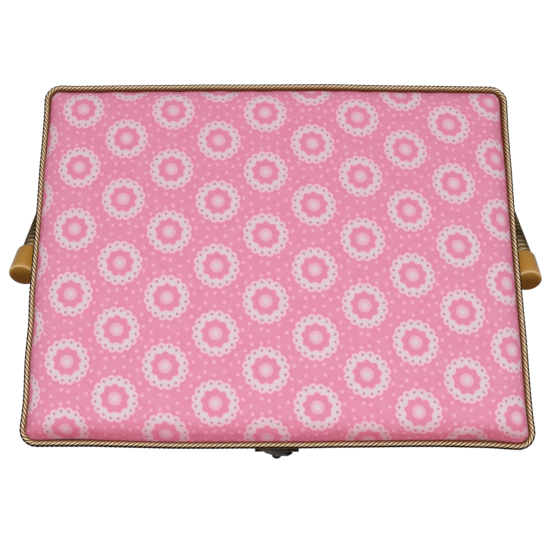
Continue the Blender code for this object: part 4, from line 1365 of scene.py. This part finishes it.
def wrap_material():
    """Raffia and cord wound round a rod: three strands of different colour side by side."""
    n = Mat("wound_cord")
    u, v, _ = n.xyz(n.uv("UVMap"))
    ph = n.math("MULTIPLY", n.math("SUBTRACT", n.math("DIVIDE", u, WRAP_LEAD), v), 3.0)
    drift = n.noise(n.combine(n.math("MULTIPLY", u, 0.02), 0.0, 0.0), 1.0, 2.0)
    k = n.math("FLOORED_MODULO", n.math("FLOOR", ph), 3.0)
    f = n.math("FRACT", ph)
    cream, olive, brown = srgb(244, 214, 160), srgb(176, 150, 74), srgb(128, 88, 44)
    col = n.mix(n.math("COMPARE", k, 1.0, 0.25), cream, olive)
    col = n.mix(n.math("COMPARE", k, 2.0, 0.25), col, brown)
    stained = n.noise(n.combine(n.math("MULTIPLY", u, 0.06), n.math("MULTIPLY", v, 2.0), 3.0), 1.0, 3.0)
    col = n.mix(n.step(stained, 0.42, 0.66, 0.0, 0.7), col, srgb(70, 42, 20))
    fib = n.noise(n.combine(n.math("MULTIPLY", ph, 5.0), n.math("MULTIPLY", v, 9.0), n.math("MULTIPLY", u, 0.12)), 1.0, 4.0, 0.7)
    tone = n.math("MULTIPLY_ADD", fib, 0.7, 0.62)
    col = n.mix(1.0, col, n.combine(tone, tone, tone), "MULTIPLY")
    # painted shade in the gaps between the windings
    edge = n.math("ABSOLUTE", n.math("SUBTRACT", f, 0.5))
    crev = n.step(edge, 0.16, 0.42)
    col = n.mix(n.math("MULTIPLY", crev, 0.96), col, srgb(26, 15, 6))
    # painted shade: darker on the outer side of the legs and under the lid's cord
    worn = n.step(n.attr("outer"), -0.1, 0.8, 1.0, 0.28)
    col = n.mix(1.0, col, n.combine(worn, worn, worn), "MULTIPLY")
    twist = n.math("SINE", n.math("ADD", n.math("MULTIPLY", v, TAU * 26), n.math("MULTIPLY", f, 3.2)))
    n.set(
        color=col,
        rough=n.math("MULTIPLY_ADD", fib, 0.3, 0.36),
        spec=n.math("MULTIPLY", worn, 0.35),
        normal=n.bump(n.math("ADD", n.math("MULTIPLY", twist, 0.25), fib), 0.00025, 0.8),
    )
    return n.m


m_wrap = wrap_material()
wrap = tube("handle_wound_cord", path, 6.2, 26, False, (0, 0, 1), (m_wrap,), wound)
wc = np.zeros(len(wrap.data.vertices) * 3, np.float32)
wrap.data.vertices.foreach_get("co", wc)
wc = wc.reshape(-1, 3) * 1000
# painted shade on the legs: towards their outer side, and where they lie under the lid's cord
on_leg = np.clip((110.0 - wc[:, 1]) / 30.0, 0, 1)
leg_shade_amount = np.clip((np.abs(wc[:, 0]) - PIVOT_X) / 6.2, -1, 1) * on_leg - (1 - on_leg)
# painted shade also where it lies against the lid's cord, in its shade
under_lid_shade = np.clip((wc[:, 1] - 13.0) / 17.0, 0, 1) * np.clip((85.0 - wc[:, 1]) / 35.0, 0, 1)
leg_shade_amount = np.maximum(leg_shade_amount + 0.15 * on_leg, under_lid_shade * 1.1 - 0.1)
wrap.data.attributes.new("outer", "FLOAT", "POINT").data.foreach_set("value", leg_shade_amount.astype(np.float32))
wrap.data.transform(leg_frame())
over(wrap, "handle", "handle_wrap", slot="handle_cord")


def cap(side, s):
    """A turned end cap with a rounded shoulder and a softly rounded end."""
    R, u0 = 8.5, -11.5
    pr = [(0.0, u0 + 0.02), (3.0, u0), (6.2, u0)]
    for k in range(9):
        a = math.pi / 2 * k / 8
        pr.append((R - 0.95 + 0.95 * math.sin(a), u0 + 0.95 - 0.95 * math.cos(a)))
    pr += [(R, u0 + 4), (R + 0.0, 0.0), (R, 4.0), (R - 0.05, 7.6)]
    for k in range(1, 10):
        a = math.pi / 2 * k / 9
        pr.append((R - 2.2 * (1 - math.cos(a)) - 0.05, 7.6 + 2.6 * math.sin(a)))
    pr += [(R - 2.8, 10.3), (R - 3.3, 10.1)]
    pr = np.array(pr)
    pr = np.vstack([[0.05, pr[0][1]], pr[1:]])
    ob = lathe("cap_" + side, pr, 72, (m_cap,))
    me = ob.data
    co = np.zeros(len(me.vertices) * 3, np.float32)
    me.vertices.foreach_get("co", co)
    co = co.reshape(-1, 3)
    # a fine mould line down each side
    ang = np.arctan2(co[:, 1], co[:, 0])
    rr = np.hypot(co[:, 0], co[:, 1])
    seam = np.exp(-((np.sin(ang) / 0.035) ** 2)) * (rr > 0.0070)
    co[:, 0] *= 1 + 0.006 * seam
    me.vertices.foreach_set("co", co.ravel())
    # the flat of the end is of a duller finish than the turned side, and its colour is painted darker as shade
    end = np.clip((-co[:, 2] * 1000 - 10.6) / 0.5, 0, 1)
    me.attributes.new("end", "FLOAT", "POINT").data.foreach_set("value", end.astype(np.float32))
    # painted shade across the end: lighter towards its upper part
    high = np.clip(0.5 - co[:, 1] * 1000 / R * 0.5, 0, 1)
    me.attributes.new("high", "FLOAT", "POINT").data.foreach_set("value", high.astype(np.float32))
    # painted highlight along the upper part of the end's rounded edge, and painted shade towards the shoulder and on
    # the flanks
    z = co[:, 2] * 1000
    rim = np.exp(-(((rr * 1000 - (R - 0.35)) / 0.55) ** 2)) * np.clip((-z - 10.2) / 0.6, 0, 1) * np.clip(high * 1.5 - 0.35, 0, 1)
    me.attributes.new("rim", "FLOAT", "POINT").data.foreach_set("value", rim.astype(np.float32))
    barrel_shade = 0.17 * np.clip((z + 6.0) / 14.0, 0, 1) + 0.24 * (co[:, 0] * 1000 / R) ** 2
    me.attributes.new("barrel_shade", "FLOAT", "POINT").data.foreach_set("value", barrel_shade.astype(np.float32))
    # each cap was pushed on a little differently
    slide, lean, shift = (0.9, 0.0, 0.0) if s < 0 else (-3.2, 3.0, -0.8)
    m = (
        leg_frame()
        @ Matrix.Translation(((s * PIVOT_X + shift) * MM, 10 * MM, 0))
        @ Matrix.Rotation(math.radians(-lean), 4, "Z")
        @ Matrix.Translation((0, (slide - 10) * MM, 0))
        @ Matrix.Rotation(math.radians(-90), 4, "X")
    )
    ob.data.transform(m)
    ob.data.set_sharp_from_angle(angle=math.radians(60))
    over(ob, "handle", "handle_cap_" + side, slot="cap_plastic")
    return ob


for side, s in (("left", -1), ("right", 1)):
    cap(side, s)

# ============================================================ metalwork


def refined(node, name, mat, body, bevel=0.18, segs=2, slot=None, angle=28, change=None, dissolve=True):
    """A finer copy of a CAD piece: its edges rounded, in its own material."""
    src = frame["nodes"][node]
    me = src.data.copy()
    me.name = name
    me.materials.clear()
    ob = bpy.data.objects.new(name, me)
    scene.collection.objects.link(ob)
    me.materials.append(mat)
    bm = bmesh.new()
    bm.from_mesh(me)
    bmesh.ops.remove_doubles(bm, verts=bm.verts, dist=1e-6)
    if dissolve:
        bmesh.ops.dissolve_limit(bm, angle_limit=math.radians(1.0), verts=bm.verts, edges=bm.edges)
    if change:
        change(bm)
    bm.to_mesh(me)
    bm.free()
    for a in [a.name for a in me.attributes if a.name == "custom_normal"]:
        me.attributes.remove(me.attributes[a])
    if bevel:
        bevel_mod(ob, bevel, segs, angle)
    ob.data.shade_smooth()
    ob.data.set_sharp_from_angle(angle=math.radians(42))
    over(ob, body, node, slot=slot)
    return ob


def shorter(bm):
    """Spacers are cut a little short on the right, where the cap leans in."""
    for vtx in bm.verts:
        if vtx.co.x > 150.5 * MM:
            vtx.co.x -= 1.5 * MM


for side in ("left", "right"):
    refined("pivot_bolt_" + side, "bolt_" + side, m_steel, "box", 0.25, slot="plated_steel")
    refined("pivot_washer_" + side, "washer_" + side, m_steel, "box", 0.15, slot="plated_steel")
    refined("pivot_spacer_" + side, "spacer_" + side, m_cap, "box", 0.35, slot="cap_plastic", change=shorter)
    refined("hinge_body_leaf_" + side, "hinge_leaf_body_" + side, m_hinge, "box", 0.16, slot="antique_bronze")
    refined("hinge_lid_leaf_" + side, "hinge_leaf_lid_" + side, m_hinge, "lid", 0.16, slot="antique_bronze")
    refined("hinge_pin_" + side, "hinge_rod_" + side, m_hinge, "box", 0.2, slot="antique_bronze")
LATCH_DX = 0.65  # the latch was nailed on a little to one side


def nudged(bm):
    """Latch pieces moved across; their knuckles slightly fuller than the drawn ones."""
    for vtx in bm.verts:
        y, z = vtx.co.y * 1000 - LATCH[1], vtx.co.z * 1000 - LATCH[2]
        r = math.hypot(y, z)
        if 1.8 < r < 2.35:
            vtx.co.y = (LATCH[1] + y * 2.4 / 2.2) * MM
            vtx.co.z = (LATCH[2] + z * 2.4 / 2.2) * MM
        vtx.co.x += LATCH_DX * MM


refined("latch_pin", "latch_rod", m_bronze, "lid", 0.2, slot="antique_bronze", change=nudged)
refined("latch_hook_plate", "hook_plate", m_bronze, "box", 0.2, slot="antique_bronze", change=nudged)
refined("latch_lid_plate", "latch_plate", m_bronze, "lid", 0.5, 3, slot="antique_bronze", change=nudged)


def domed_nail(name, node, at, out, head, body):
    """A tack with a rounded head, shank driven in."""
    pr = [(0.05, -4.3), (0.28, -3.6), (0.45, -2.6), (0.48, 0.05), (head * 0.93, 0.08), (head, 0.22)]
    for k in range(1, 9):
        a = math.pi / 2 * k / 8
        pr.append((max(head * math.cos(a), 0.05), 0.22 + 0.62 * math.sin(a)))
    ob = lathe(name, pr, 28, (m_bronze,))
    turn = Vector((0, 0, 1)).rotation_difference(Vector(out)).to_matrix().to_4x4()
    ob.data.transform(Matrix.Translation(Vector(at) * MM) @ turn)
    over(ob, body, node, slot="antique_bronze")


for kind, body_name, count in (("hinge_body_nail_", "box", 4), ("hinge_lid_nail_", "lid", 4), ("latch_lid_nail_", "lid", 2), ("latch_hook_nail_", "box", 2)):
    for k in range(1, count + 1):
        node = kind + str(k)
        lo, hi = lohi(node)
        back = kind.startswith("hinge")
        y = hi[1] - 0.8 if back else lo[1] + 0.8
        domed_nail(
            "tack_" + kind[:-6] + "_" + str(k),
            node,
            ((lo[0] + hi[0]) / 2 + (0 if back else LATCH_DX), y, (lo[2] + hi[2]) / 2),
            (0, 1 if back else -1, 0),
            1.25 if back else 1.1,
            body_name,
        )


def hasp():
    """The bent hasp, worn a little out of true so that one side stands further forward."""
    line = [(-115.7, 128.4), (-117.0, 125.2), (-118.3, 121.4), (-119.0, 117.0), (-119.1, 113.4), (-119.9, 110.9)]
    widths = [8.5, 8.5, 8.5, 8.3, 6.4, 2.8]
    line, widths = np.array(line), np.array(widths)
    s = arclen(line, False)
    t = np.linspace(0, s[-1], 40)
    y, z = np.interp(t, s, line[:, 0]), np.interp(t, s, line[:, 1])
    for _ in range(3):
        y[1:-1] = (y[:-2] + 2 * y[1:-1] + y[2:]) / 4
        z[1:-1] = (z[:-2] + 2 * z[1:-1] + z[2:]) / 4
    w = np.interp(t, s, widths)
    # scalloped sides
    w = w * (1 + 0.05 * np.cos(t / s[-1] * TAU * 2.5)) - 0.0
    nx = 25
    dy, dz = np.gradient(y), np.gradient(z)
    ln = np.hypot(dy, dz)
    ny, nz = dz / ln, -dy / ln  # outward, towards -y
    if ny[10] > 0:
        ny, nz = -ny, -nz
    out = []
    for side in (1, -1):
        cols = []
        for i in range(nx):
            q = 2 * i / (nx - 1) - 1
            rim = max(0.0, (abs(q) - 0.8) / 0.2)
            h = 0.55 - 0.25 * rim ** 2
            dish = 0.35 * (1 - q * q) * np.sin(np.clip(t / s[-1], 0, 1) * math.pi)
            lift = (h + (dish if side == 1 else dish))
            back_ = 1.3 * max(0.0, (abs(q) - 0.72) / 0.28) ** 2 * np.sin(np.clip(t / s[-1], 0, 1) * math.pi)  # edges rolled back
            o = side * h + dish - back_
            cols.append(np.stack([w * q, y + ny * o, z + nz * o], -1))
        out.append(np.stack(cols, 0))  # across, along
    front, back = out
    loop_ = np.concatenate([front, back[::-1]], 0)  # closed across
    m = len(t)
    co = loop_.reshape(-1, 3)
    faces = [grid_faces(2 * nx, m, True, False)]
    a = (np.arange(2 * nx) * m)
    faces += [a[::-1].copy(), a + m - 1]
    leaf = build("hasp_leaf", co, faces, closed=True, mats=(m_bronze,))
    # the window for the hook
    bm = bmesh.new()
    bmesh.ops.create_cube(bm, size=1.0)
    bmesh.ops.scale(bm, vec=(6.4 * MM, 12 * MM, 5.6 * MM), verts=bm.verts)
    bmesh.ops.translate(bm, vec=(0, -118 * MM, 118.4 * MM), verts=bm.verts)
    me = bpy.data.meshes.new("hole")
    bm.to_mesh(me)
    bm.free()
    hole = bpy.data.objects.new("hole", me)
    scene.collection.objects.link(hole)
    mod = leaf.modifiers.new("cut", "BOOLEAN")
    mod.object = hole
    mod.operation = "DIFFERENCE"
    mod.solver = "EXACT"
    apply_modifiers(leaf)
    bpy.data.objects.remove(hole)
    parts = [leaf]
    # knuckle with rolled ends
    pr = [(0.9, -8.7), (2.2, -8.7), (2.4, -8.5), (2.4, -2.9), (2.28, -2.75), (2.28, -2.6), (2.4, -2.45), (2.4, 2.45), (2.28, 2.6), (2.28, 2.75), (2.4, 2.9), (2.4, 8.5), (2.2, 8.7), (0.9, 8.7)]
    kn = lathe("hasp_knuckle", pr, 40, (m_bronze,))
    kn.data.transform(Matrix.Translation((0, LATCH[1] * MM, LATCH[2] * MM)) @ Matrix.Rotation(math.radians(90), 4, "Y"))
    parts.append(kn)
    # finger knob
    pr = []
    for k in range(13):
        a = -math.pi / 2 + math.pi * k / 12
        pr.append((max(2.75 * math.cos(a), 0.03), 2.0 * math.sin(a)))
    kb = lathe("hasp_knob", pr, 28, (m_bronze,))
    kb.data.transform(Matrix.Translation((0.2 * MM, -120.1 * MM, 110.9 * MM)) @ Matrix.Rotation(math.radians(78), 4, "X"))
    parts.append(kb)
    ob = join(parts, "latch_hasp_leaf")
    # out of true: below the knuckle the leaf is turned about the upright
    me = ob.data
    co = np.zeros(len(me.vertices) * 3, np.float32)
    me.vertices.foreach_get("co", co)
    co = co.reshape(-1, 3) * 1000
    f = np.clip((127.4 - co[:, 2]) / 5.0, 0, 1)
    f = f * f * (3 - 2 * f)
    co[:, 0] *= 1 + 0.09 * f * (co[:, 0] > 0)
    ang = -math.radians(7.5) * f
    x, yy = co[:, 0].copy(), co[:, 1] + 116.5
    co[:, 0] = x * np.cos(ang) - yy * np.sin(ang)
    co[:, 1] = x * np.sin(ang) + yy * np.cos(ang) - 116.5
    co[:, 0] += LATCH_DX
    me.vertices.foreach_set("co", (co / 1000).ravel().astype(np.float32))
    me.update()
    me.shade_smooth()
    me.set_sharp_from_angle(angle=math.radians(45))
    over(ob, "latch_hasp", "latch_hasp", slot="antique_bronze")
    return ob


hasp()

# ============================================================ inside the box

LX, LY = lin_hi[0], lin_hi[1]


def lining_tub():
    """The satin lining: quilted in diamonds over thin wadding, with a rolled top edge."""
    t0 = 1.3
    out = rrect(LX, LY, 9.0, 8, 2.4)
    out, length = resample(out, 2.2)
    nrm = normals2d(out)
    s = arclen(out)
    n = len(out)
    z_top, z_bot = lin_hi[2] - 0.2, lin_lo[2] + 0.1
    P = []
    zs_out = np.linspace(z_bot, z_top - 0.6, 8)
    for z in zs_out:
        P.append(np.column_stack([out, np.full(n, z)]))
    for a in (30, 60, 90, 120, 150):
        a = math.radians(a)
        P.append(np.column_stack([out - nrm * (0.75 - 0.75 * math.cos(a)), np.full(n, z_top - 0.6 + 0.75 * math.sin(a))]))
    zs = np.linspace(z_top - 1.2, z_bot + 3.0, 56)
    dia = 24.0
    seams = round(length / dia)
    for z in zs:
        u = s[:-1] / length * seams
        v = (z - z_bot) / dia
        a, b = (u + v), (u - v)
        puff = (np.abs(np.sin(a * math.pi)) * np.abs(np.sin(b * math.pi))) ** 0.55
        puff = puff * 1.5
        edge = np.clip((z_top - z) / 8.0, 0, 1)
        wr = 0.12 * vnoise(np.stack([s[:-1], np.full(n, z)], -1), 5.0, 51)
        P.append(np.column_stack([out - nrm * (t0 + puff * edge + wr)[:, None], np.full(n, z)]))
    # floor
    inner = P[-1][:, :2]
    fl = []
    steps = 46
    for k in range(1, steps + 1):
        f = 1 - k / steps
        q = inner * max(f, 0.004)
        u, v = q[:, 0] / dia, q[:, 1] / dia
        puff = (np.abs(np.sin((u + v) * math.pi)) * np.abs(np.sin((u - v) * math.pi))) ** 0.55 * 1.4
        lift = np.clip((1 - f) * 20, 0, 1)
        z = z_bot + t0 + (1.7 - lift) * 1.0 + puff * lift * 0.9
        fl.append(np.column_stack([q, z]))
    P += fl
    # closed underneath
    und = []
    for f in (0.004, 0.5, 0.97):
        und.append(np.column_stack([out * f, np.full(n, z_bot)]))
    P = np.stack(P + und, 1)
    m = P.shape[1]
    faces = grid_faces(n, m, True, True)
    seg = np.linalg.norm(np.diff(np.concatenate([P[0], P[0][:1]]), axis=0), axis=1)
    vv = np.concatenate([[0], np.cumsum(seg)])
    uv = grid_uv(s, vv)
    return build("quilted_lining", P.reshape(-1, 3), [faces], uv=uv, closed=True, mats=(m_satin,))


tub = lining_tub()
over(tub, "box", "body_lining", slot="satin_lining")
refined("tray", "sewing_tray", m_tray, "tray", 0.55, 3, slot="tray_plastic", angle=35)
for side in ("left", "right"):
    refined("tray_ledge_" + side, "ledge_" + side, m_board, "box", 0.3, slot="greyboard")


def padded_panel():
    """The lid's padded satin lining, drawn in by a stitched border, with soft creases."""
    hx, hy = 142.2, 107.2
    z_top, rest = 134.5, 133.2

    def relief(x, y, e):
        q = np.stack([x, y], -1)
        border = np.clip(e / 6.0, 0, 1)
        stitch = np.exp(-(((e - 7.0) / 0.7) ** 2)) * (0.55 + 0.25 * np.cos((x + y) * TAU / 4.2))
        puff = 1.25 * np.sin(np.clip((e - 7.0) / 22.0, 0, 1) * math.pi / 2)
        rim_ = 0.7 * np.sin(np.clip(e / 7.0, 0, 1) * math.pi)
        cre = 0.22 * vnoise(q * [0.4, 1.3], 16.0, 61) + 0.12 * vnoise(q, 6.0, 62)
        fan = 0.22 * np.sin((x if True else y) * 0.6 + 3 * vnoise(q, 25.0, 63)) * np.exp(-(((e - 11.0) / 4.0) ** 2))
        return puff * 0.6 + rim_ * 0.5 - stitch * 0.6 + (cre + fan) * border
    ob = slab("lid_padded_lining", hx, hy, 7.0, 0.0, 1.0, 2.2, (m_satin,), relief)
    # built face up, then turned over under the lid board
    ob.data.transform(Matrix.Translation((0, 0, z_top * MM)) @ Matrix.Diagonal((1, -1, -1, 1)))
    return ob


panel = padded_panel()
over(panel, "lid", "lid_lining", slot="satin_lining")


def gathered_pocket():
    """A flat pocket of satin, gathered along its open edge by an elastic."""
    x0, x1, y0, y1 = -126.0, 126.0, 19.2, 101.0
    nx, ny = 420, 46
    xs = np.linspace(x0, x1, nx)
    ys = np.linspace(y0, y1, ny)
    xx, yy = np.meshgrid(xs, ys, indexing="ij")
    q = np.stack([xx.ravel(), yy.ravel()], -1)
    g = (yy - y0) / (y1 - y0)
    warp = 3.2 * vnoise(q * [1, 0.25], 14.0, 71).reshape(xx.shape)
    fold = np.sin((xx + warp) * TAU / 7.4) * 0.85 + 0.5 * np.sin((xx + 1.6 * warp) * TAU / 4.3 + 1)
    fold2 = np.sin((xx + 2.2 * warp) * TAU / 13.0 + 2.0)
    side = np.clip(np.minimum(xx - x0, x1 - xx) / 5.0, 0, 1)
    top = np.exp(-g / 0.22) * 0.95 + 0.22 * np.exp(-((1 - g) / 0.12)) + 0.12
    h = fold * top * 0.62 + fold2 * 0.35 * np.sin(g * math.pi) + 0.4 * np.sin(g * math.pi)
    mouth = np.exp(-g / 0.05)
    z = 131.3 - side * (h * 0.8 + 0.25) - 0.15
    z = np.clip(z, 128.9, 132.5)
    z = z + (1 - side) * 1.2 + np.exp(-((1 - g) / 0.03)) * 0.9
    front = np.stack([xx, yy, z], -1)
    back = np.stack([xx, yy, z + 0.45], -1)
    co = np.concatenate([front.reshape(-1, 3), back.reshape(-1, 3)])
    nn = nx * ny
    f1 = grid_faces(nx, ny)
    f2 = grid_faces(nx, ny, base=nn)[:, ::-1]
    ring = [(i, 0) for i in range(nx)] + [(nx - 1, j) for j in range(1, ny)]
    ring += [(i, ny - 1) for i in range(nx - 2, -1, -1)] + [(0, j) for j in range(ny - 2, 0, -1)]
    ids = np.array([i * ny + j for i, j in ring])
    nxt = np.roll(ids, -1)
    sidef = np.stack([nxt, ids, ids + nn, nxt + nn], -1)
    faces = np.concatenate([f1, f2, sidef])
    uvp = np.concatenate([np.stack([xx.ravel(), yy.ravel()], -1)] * 2)
    uv = uvp[faces.ravel()]
    ob = build("gathered_pocket", co, [faces], uv=uv, closed=True, mats=(m_satin,))
    return ob


pocket = gathered_pocket()
over(pocket, "lid", "lid_pocket", slot="satin_lining")

# its elastic, in a ruffled casing
el_lo, el_hi = lohi("pocket_elastic")
path = np.array([(x, (el_lo[1] + el_hi[1]) / 2 + 0.25 * math.sin(x * 0.9), (el_lo[2] + el_hi[2]) / 2) for x in np.arange(el_lo[0] + 0.6, el_hi[0] - 0.5, 0.6)])


def ruffle(a, s):
    return 0.86 + 0.12 * np.sin(s * TAU / 3.1 + 0.6 * np.sin(s * 0.7)) * (0.6 + 0.4 * np.cos(a))


elastic = tube("pocket_elastic_casing", path, 1.65, 18, False, (0, 0, 1), (m_satin,), ruffle)
over(elastic, "lid", "pocket_elastic", slot="satin_lining")


def cushion():
    """A stuffed pin cushion: two layers sewn round the edge and blown up with filling."""
    lo, hi = lohi("pin_cushion")
    cx, cy = (lo[0] + hi[0]) / 2, (lo[1] + hi[1]) / 2
    hx, hy = (hi[0] - lo[0]) / 2 - 0.4, (hi[1] - lo[1]) / 2 - 0.4
    zt = hi[2] - 0.25
    depth = (hi[2] - lo[2]) - 0.5
    nx, ny = 74, 46
    us = np.linspace(-1, 1, nx)
    vs = np.linspace(-1, 1, ny)
    uu, vv = np.meshgrid(us, vs, indexing="ij")
    k = 5.0
    # a pillow outline with slightly drawn in sides
    x = hx * uu * (1 - 0.035 * np.cos(vv * math.pi / 2)) * (1 - 0.05 * (np.abs(uu * vv)) ** 3)
    y = hy * vv * (1 - 0.045 * np.cos(uu * math.pi / 2)) * (1 - 0.06 * (np.abs(uu * vv)) ** 3)
    e = (1 - np.abs(uu) ** 3.0) * (1 - np.abs(vv) ** 3.0)
    h = np.clip(e, 0, 1) ** 0.5
    q = np.stack([x.ravel(), y.ravel()], -1)
    pull = (0.10 * np.sin(x * 0.95 + 2 * vnoise(q, 9.0, 81).reshape(x.shape)) * np.exp(-((1 - np.abs(vv)) / 0.16)) + 0.10 * np.sin(y * 0.95 + 2 * vnoise(q, 9.0, 82).reshape(x.shape)) * np.exp(-((1 - np.abs(uu)) / 0.12)))
    low = zt - 0.6 - (depth - 0.9) * h + pull * 3.0 * np.clip(h * 2, 0, 1) + 0.12 * vnoise(q, 8.0, 83).reshape(x.shape)
    high = zt - 0.6 + 0.55 * h
    co = np.concatenate([np.stack([x, y, low], -1).reshape(-1, 3), np.stack([x, y, high], -1).reshape(-1, 3)])
    nn = nx * ny
    f1 = grid_faces(nx, ny)
    f2 = grid_faces(nx, ny, base=nn)[:, ::-1]
    ring = [(i, 0) for i in range(nx)] + [(nx - 1, j) for j in range(1, ny)]
    ring += [(i, ny - 1) for i in range(nx - 2, -1, -1)] + [(0, j) for j in range(ny - 2, 0, -1)]
    ids = np.array([i * ny + j for i, j in ring])
    # the two layers meet at the seam
    remap = np.arange(2 * nn)
    remap[ids + nn] = ids
    faces = remap[np.concatenate([f1, f2])]
    used = np.unique(faces)
    back = np.full(2 * nn, -1)
    back[used] = np.arange(len(used))
    uvp = np.concatenate([np.stack([x.ravel(), y.ravel()], -1)] * 2)
    uv = uvp[faces.ravel()]
    ob = build("pin_cushion_pad", co[used], [back[faces]], uv=uv, closed=True, mats=(m_cotton,))
    seam = np.isin(used, ids).astype(float)
    flat = (co[used][:, 2] > zt - 0.62).astype(float) * 0.85
    settle(ob, np.maximum(seam, flat), 12, pressure=1.5, goal=0.3, cap=1.2)
    ob.data.transform(Matrix.Translation((cx * MM, cy * MM, 0)))
    rimc = np.array([(x[i, j] * 1.002 + cx, y[i, j] * 1.002 + cy, zt - 0.6) for i, j in ring])
    rimc, _ = resample(rimc, 1.2)
    pip = rope("pin_cushion_piping", rimc, 0.8, 3.2, 3, 0.35, 8, True, (0, 0, 1), (m_cord,), -1)
    return ob, pip


cush, pip = cushion()
over(cush, "lid", "pin_cushion", slot="printed_cotton")
over(pip, "lid", slot="trim_cord")

# stay cords: held by the lining of the box at one end and the lid's frame at the other
for side, s in (("left", -1), ("right", 1)):
    pts = np.array([
        (s * 134.6, 70.0, 121.5), (s * 134.6, 79.0, 123.2), (s * 134.6, 87.5, 125.6),
        (s * 134.6, 89.3, 126.6), (s * 134.6, 87.9, 127.6), (s * 134.6, 79.0, 129.6), (s * 134.6, 70.0, 131.3),
    ])
    for _ in range(2):
        q = [pts[0]]
        for a, b in zip(pts[:-1], pts[1:]):
            q += [a * 0.75 + b * 0.25, a * 0.25 + b * 0.75]
        q.append(pts[-1])
        pts = np.array(q)
    path, _ = resample(pts, 0.3, False)
    st = rope("stay_" + side, path, 0.98, 3.6, 3, 0.3, 8, False, (s, 0, 0), (m_stay,), -1)
    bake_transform(st, "box", "lid", start=(s * 0.1346, 0.080, 0.1225), end=(s * 0.1346, 0.080, 0.1305))
    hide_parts("stay_cord_" + side)

# the boards inside
paint(m_board, "lid_frame", "lid_board", "body_shell", "base_board")
paint(m_steel, "handle_core")

# ============================================================ floor, light, camera


def floor_material():
    m = bpy.data.materials.new("floor_white")
    m.use_nodes = True
    t = m.node_tree
    t.nodes.clear()
    out = t.nodes.new("ShaderNodeOutputMaterial")
    mix = t.nodes.new("ShaderNodeMixShader")
    lp = t.nodes.new("ShaderNodeLightPath")
    dif = t.nodes.new("ShaderNodeBsdfDiffuse")
    dif.inputs[0].default_value = (0.55, 0.55, 0.55, 1)
    em = t.nodes.new("ShaderNodeEmission")
    em.inputs[0].default_value = (1, 1, 1, 1)
    em.inputs[1].default_value = 1.05
    t.links.new(lp.outputs["Is Camera Ray"], mix.inputs[0])
    t.links.new(dif.outputs[0], mix.inputs[1])
    t.links.new(em.outputs[0], mix.inputs[2])
    t.links.new(mix.outputs[0], out.inputs[0])
    return m


fl = build("floor", [(-3000, -3000, 0), (3000, -3000, 0), (3000, 3000, 0), (-3000, 3000, 0)], [np.array([[0, 1, 2, 3]])], mats=(floor_material(),))


def area(name, loc, target, size, power, colour=(1, 1, 1)):
    d = bpy.data.lights.new(name, "AREA")
    d.shape = "RECTANGLE"
    d.size, d.size_y = size
    d.energy = power
    d.color = colour
    ob = bpy.data.objects.new(name, d)
    scene.collection.objects.link(ob)
    ob.location = Vector(loc) * MM
    ob.rotation_euler = (Vector(target) * MM - ob.location).to_track_quat("-Z", "Y").to_euler()
    return ob


area("key", (0, -110, 1150), (0, -110, 130), (0.5, 0.5), 9.5)

world = bpy.data.worlds.new("studio")
world.use_nodes = True
wt = world.node_tree
wt.nodes["Background"].inputs[0].default_value = (1, 1, 1, 1)
wt.nodes["Background"].inputs[1].default_value = 0.27
seen = wt.nodes.new("ShaderNodeBackground")
seen.inputs[0].default_value = (1, 1, 1, 1)
seen.inputs[1].default_value = 1.05
wlp = wt.nodes.new("ShaderNodeLightPath")
wmix = wt.nodes.new("ShaderNodeMixShader")
wt.links.new(wlp.outputs["Is Camera Ray"], wmix.inputs[0])
wt.links.new(wt.nodes["Background"].outputs[0], wmix.inputs[1])
wt.links.new(seen.outputs[0], wmix.inputs[2])
wt.links.new(wmix.outputs[0], wt.nodes["World Output"].inputs["Surface"])
scene.world = world

cam_data = bpy.data.cameras.new("camera")
cam_data.lens = 45.8
cam_data.sensor_width = 36.0
cam_data.clip_start = 0.01
cam = bpy.data.objects.new("camera", cam_data)
scene.collection.objects.link(cam)
cam.location = Vector((-0.7, -109.3, 559.0)) * MM
cam.rotation_euler = (
    Matrix.Rotation(math.radians(13.08), 4, "X") @ Matrix.Rotation(math.radians(0.15), 4, "Z")
).to_euler()
scene.camera = cam
scene.view_settings.view_transform = "Standard"
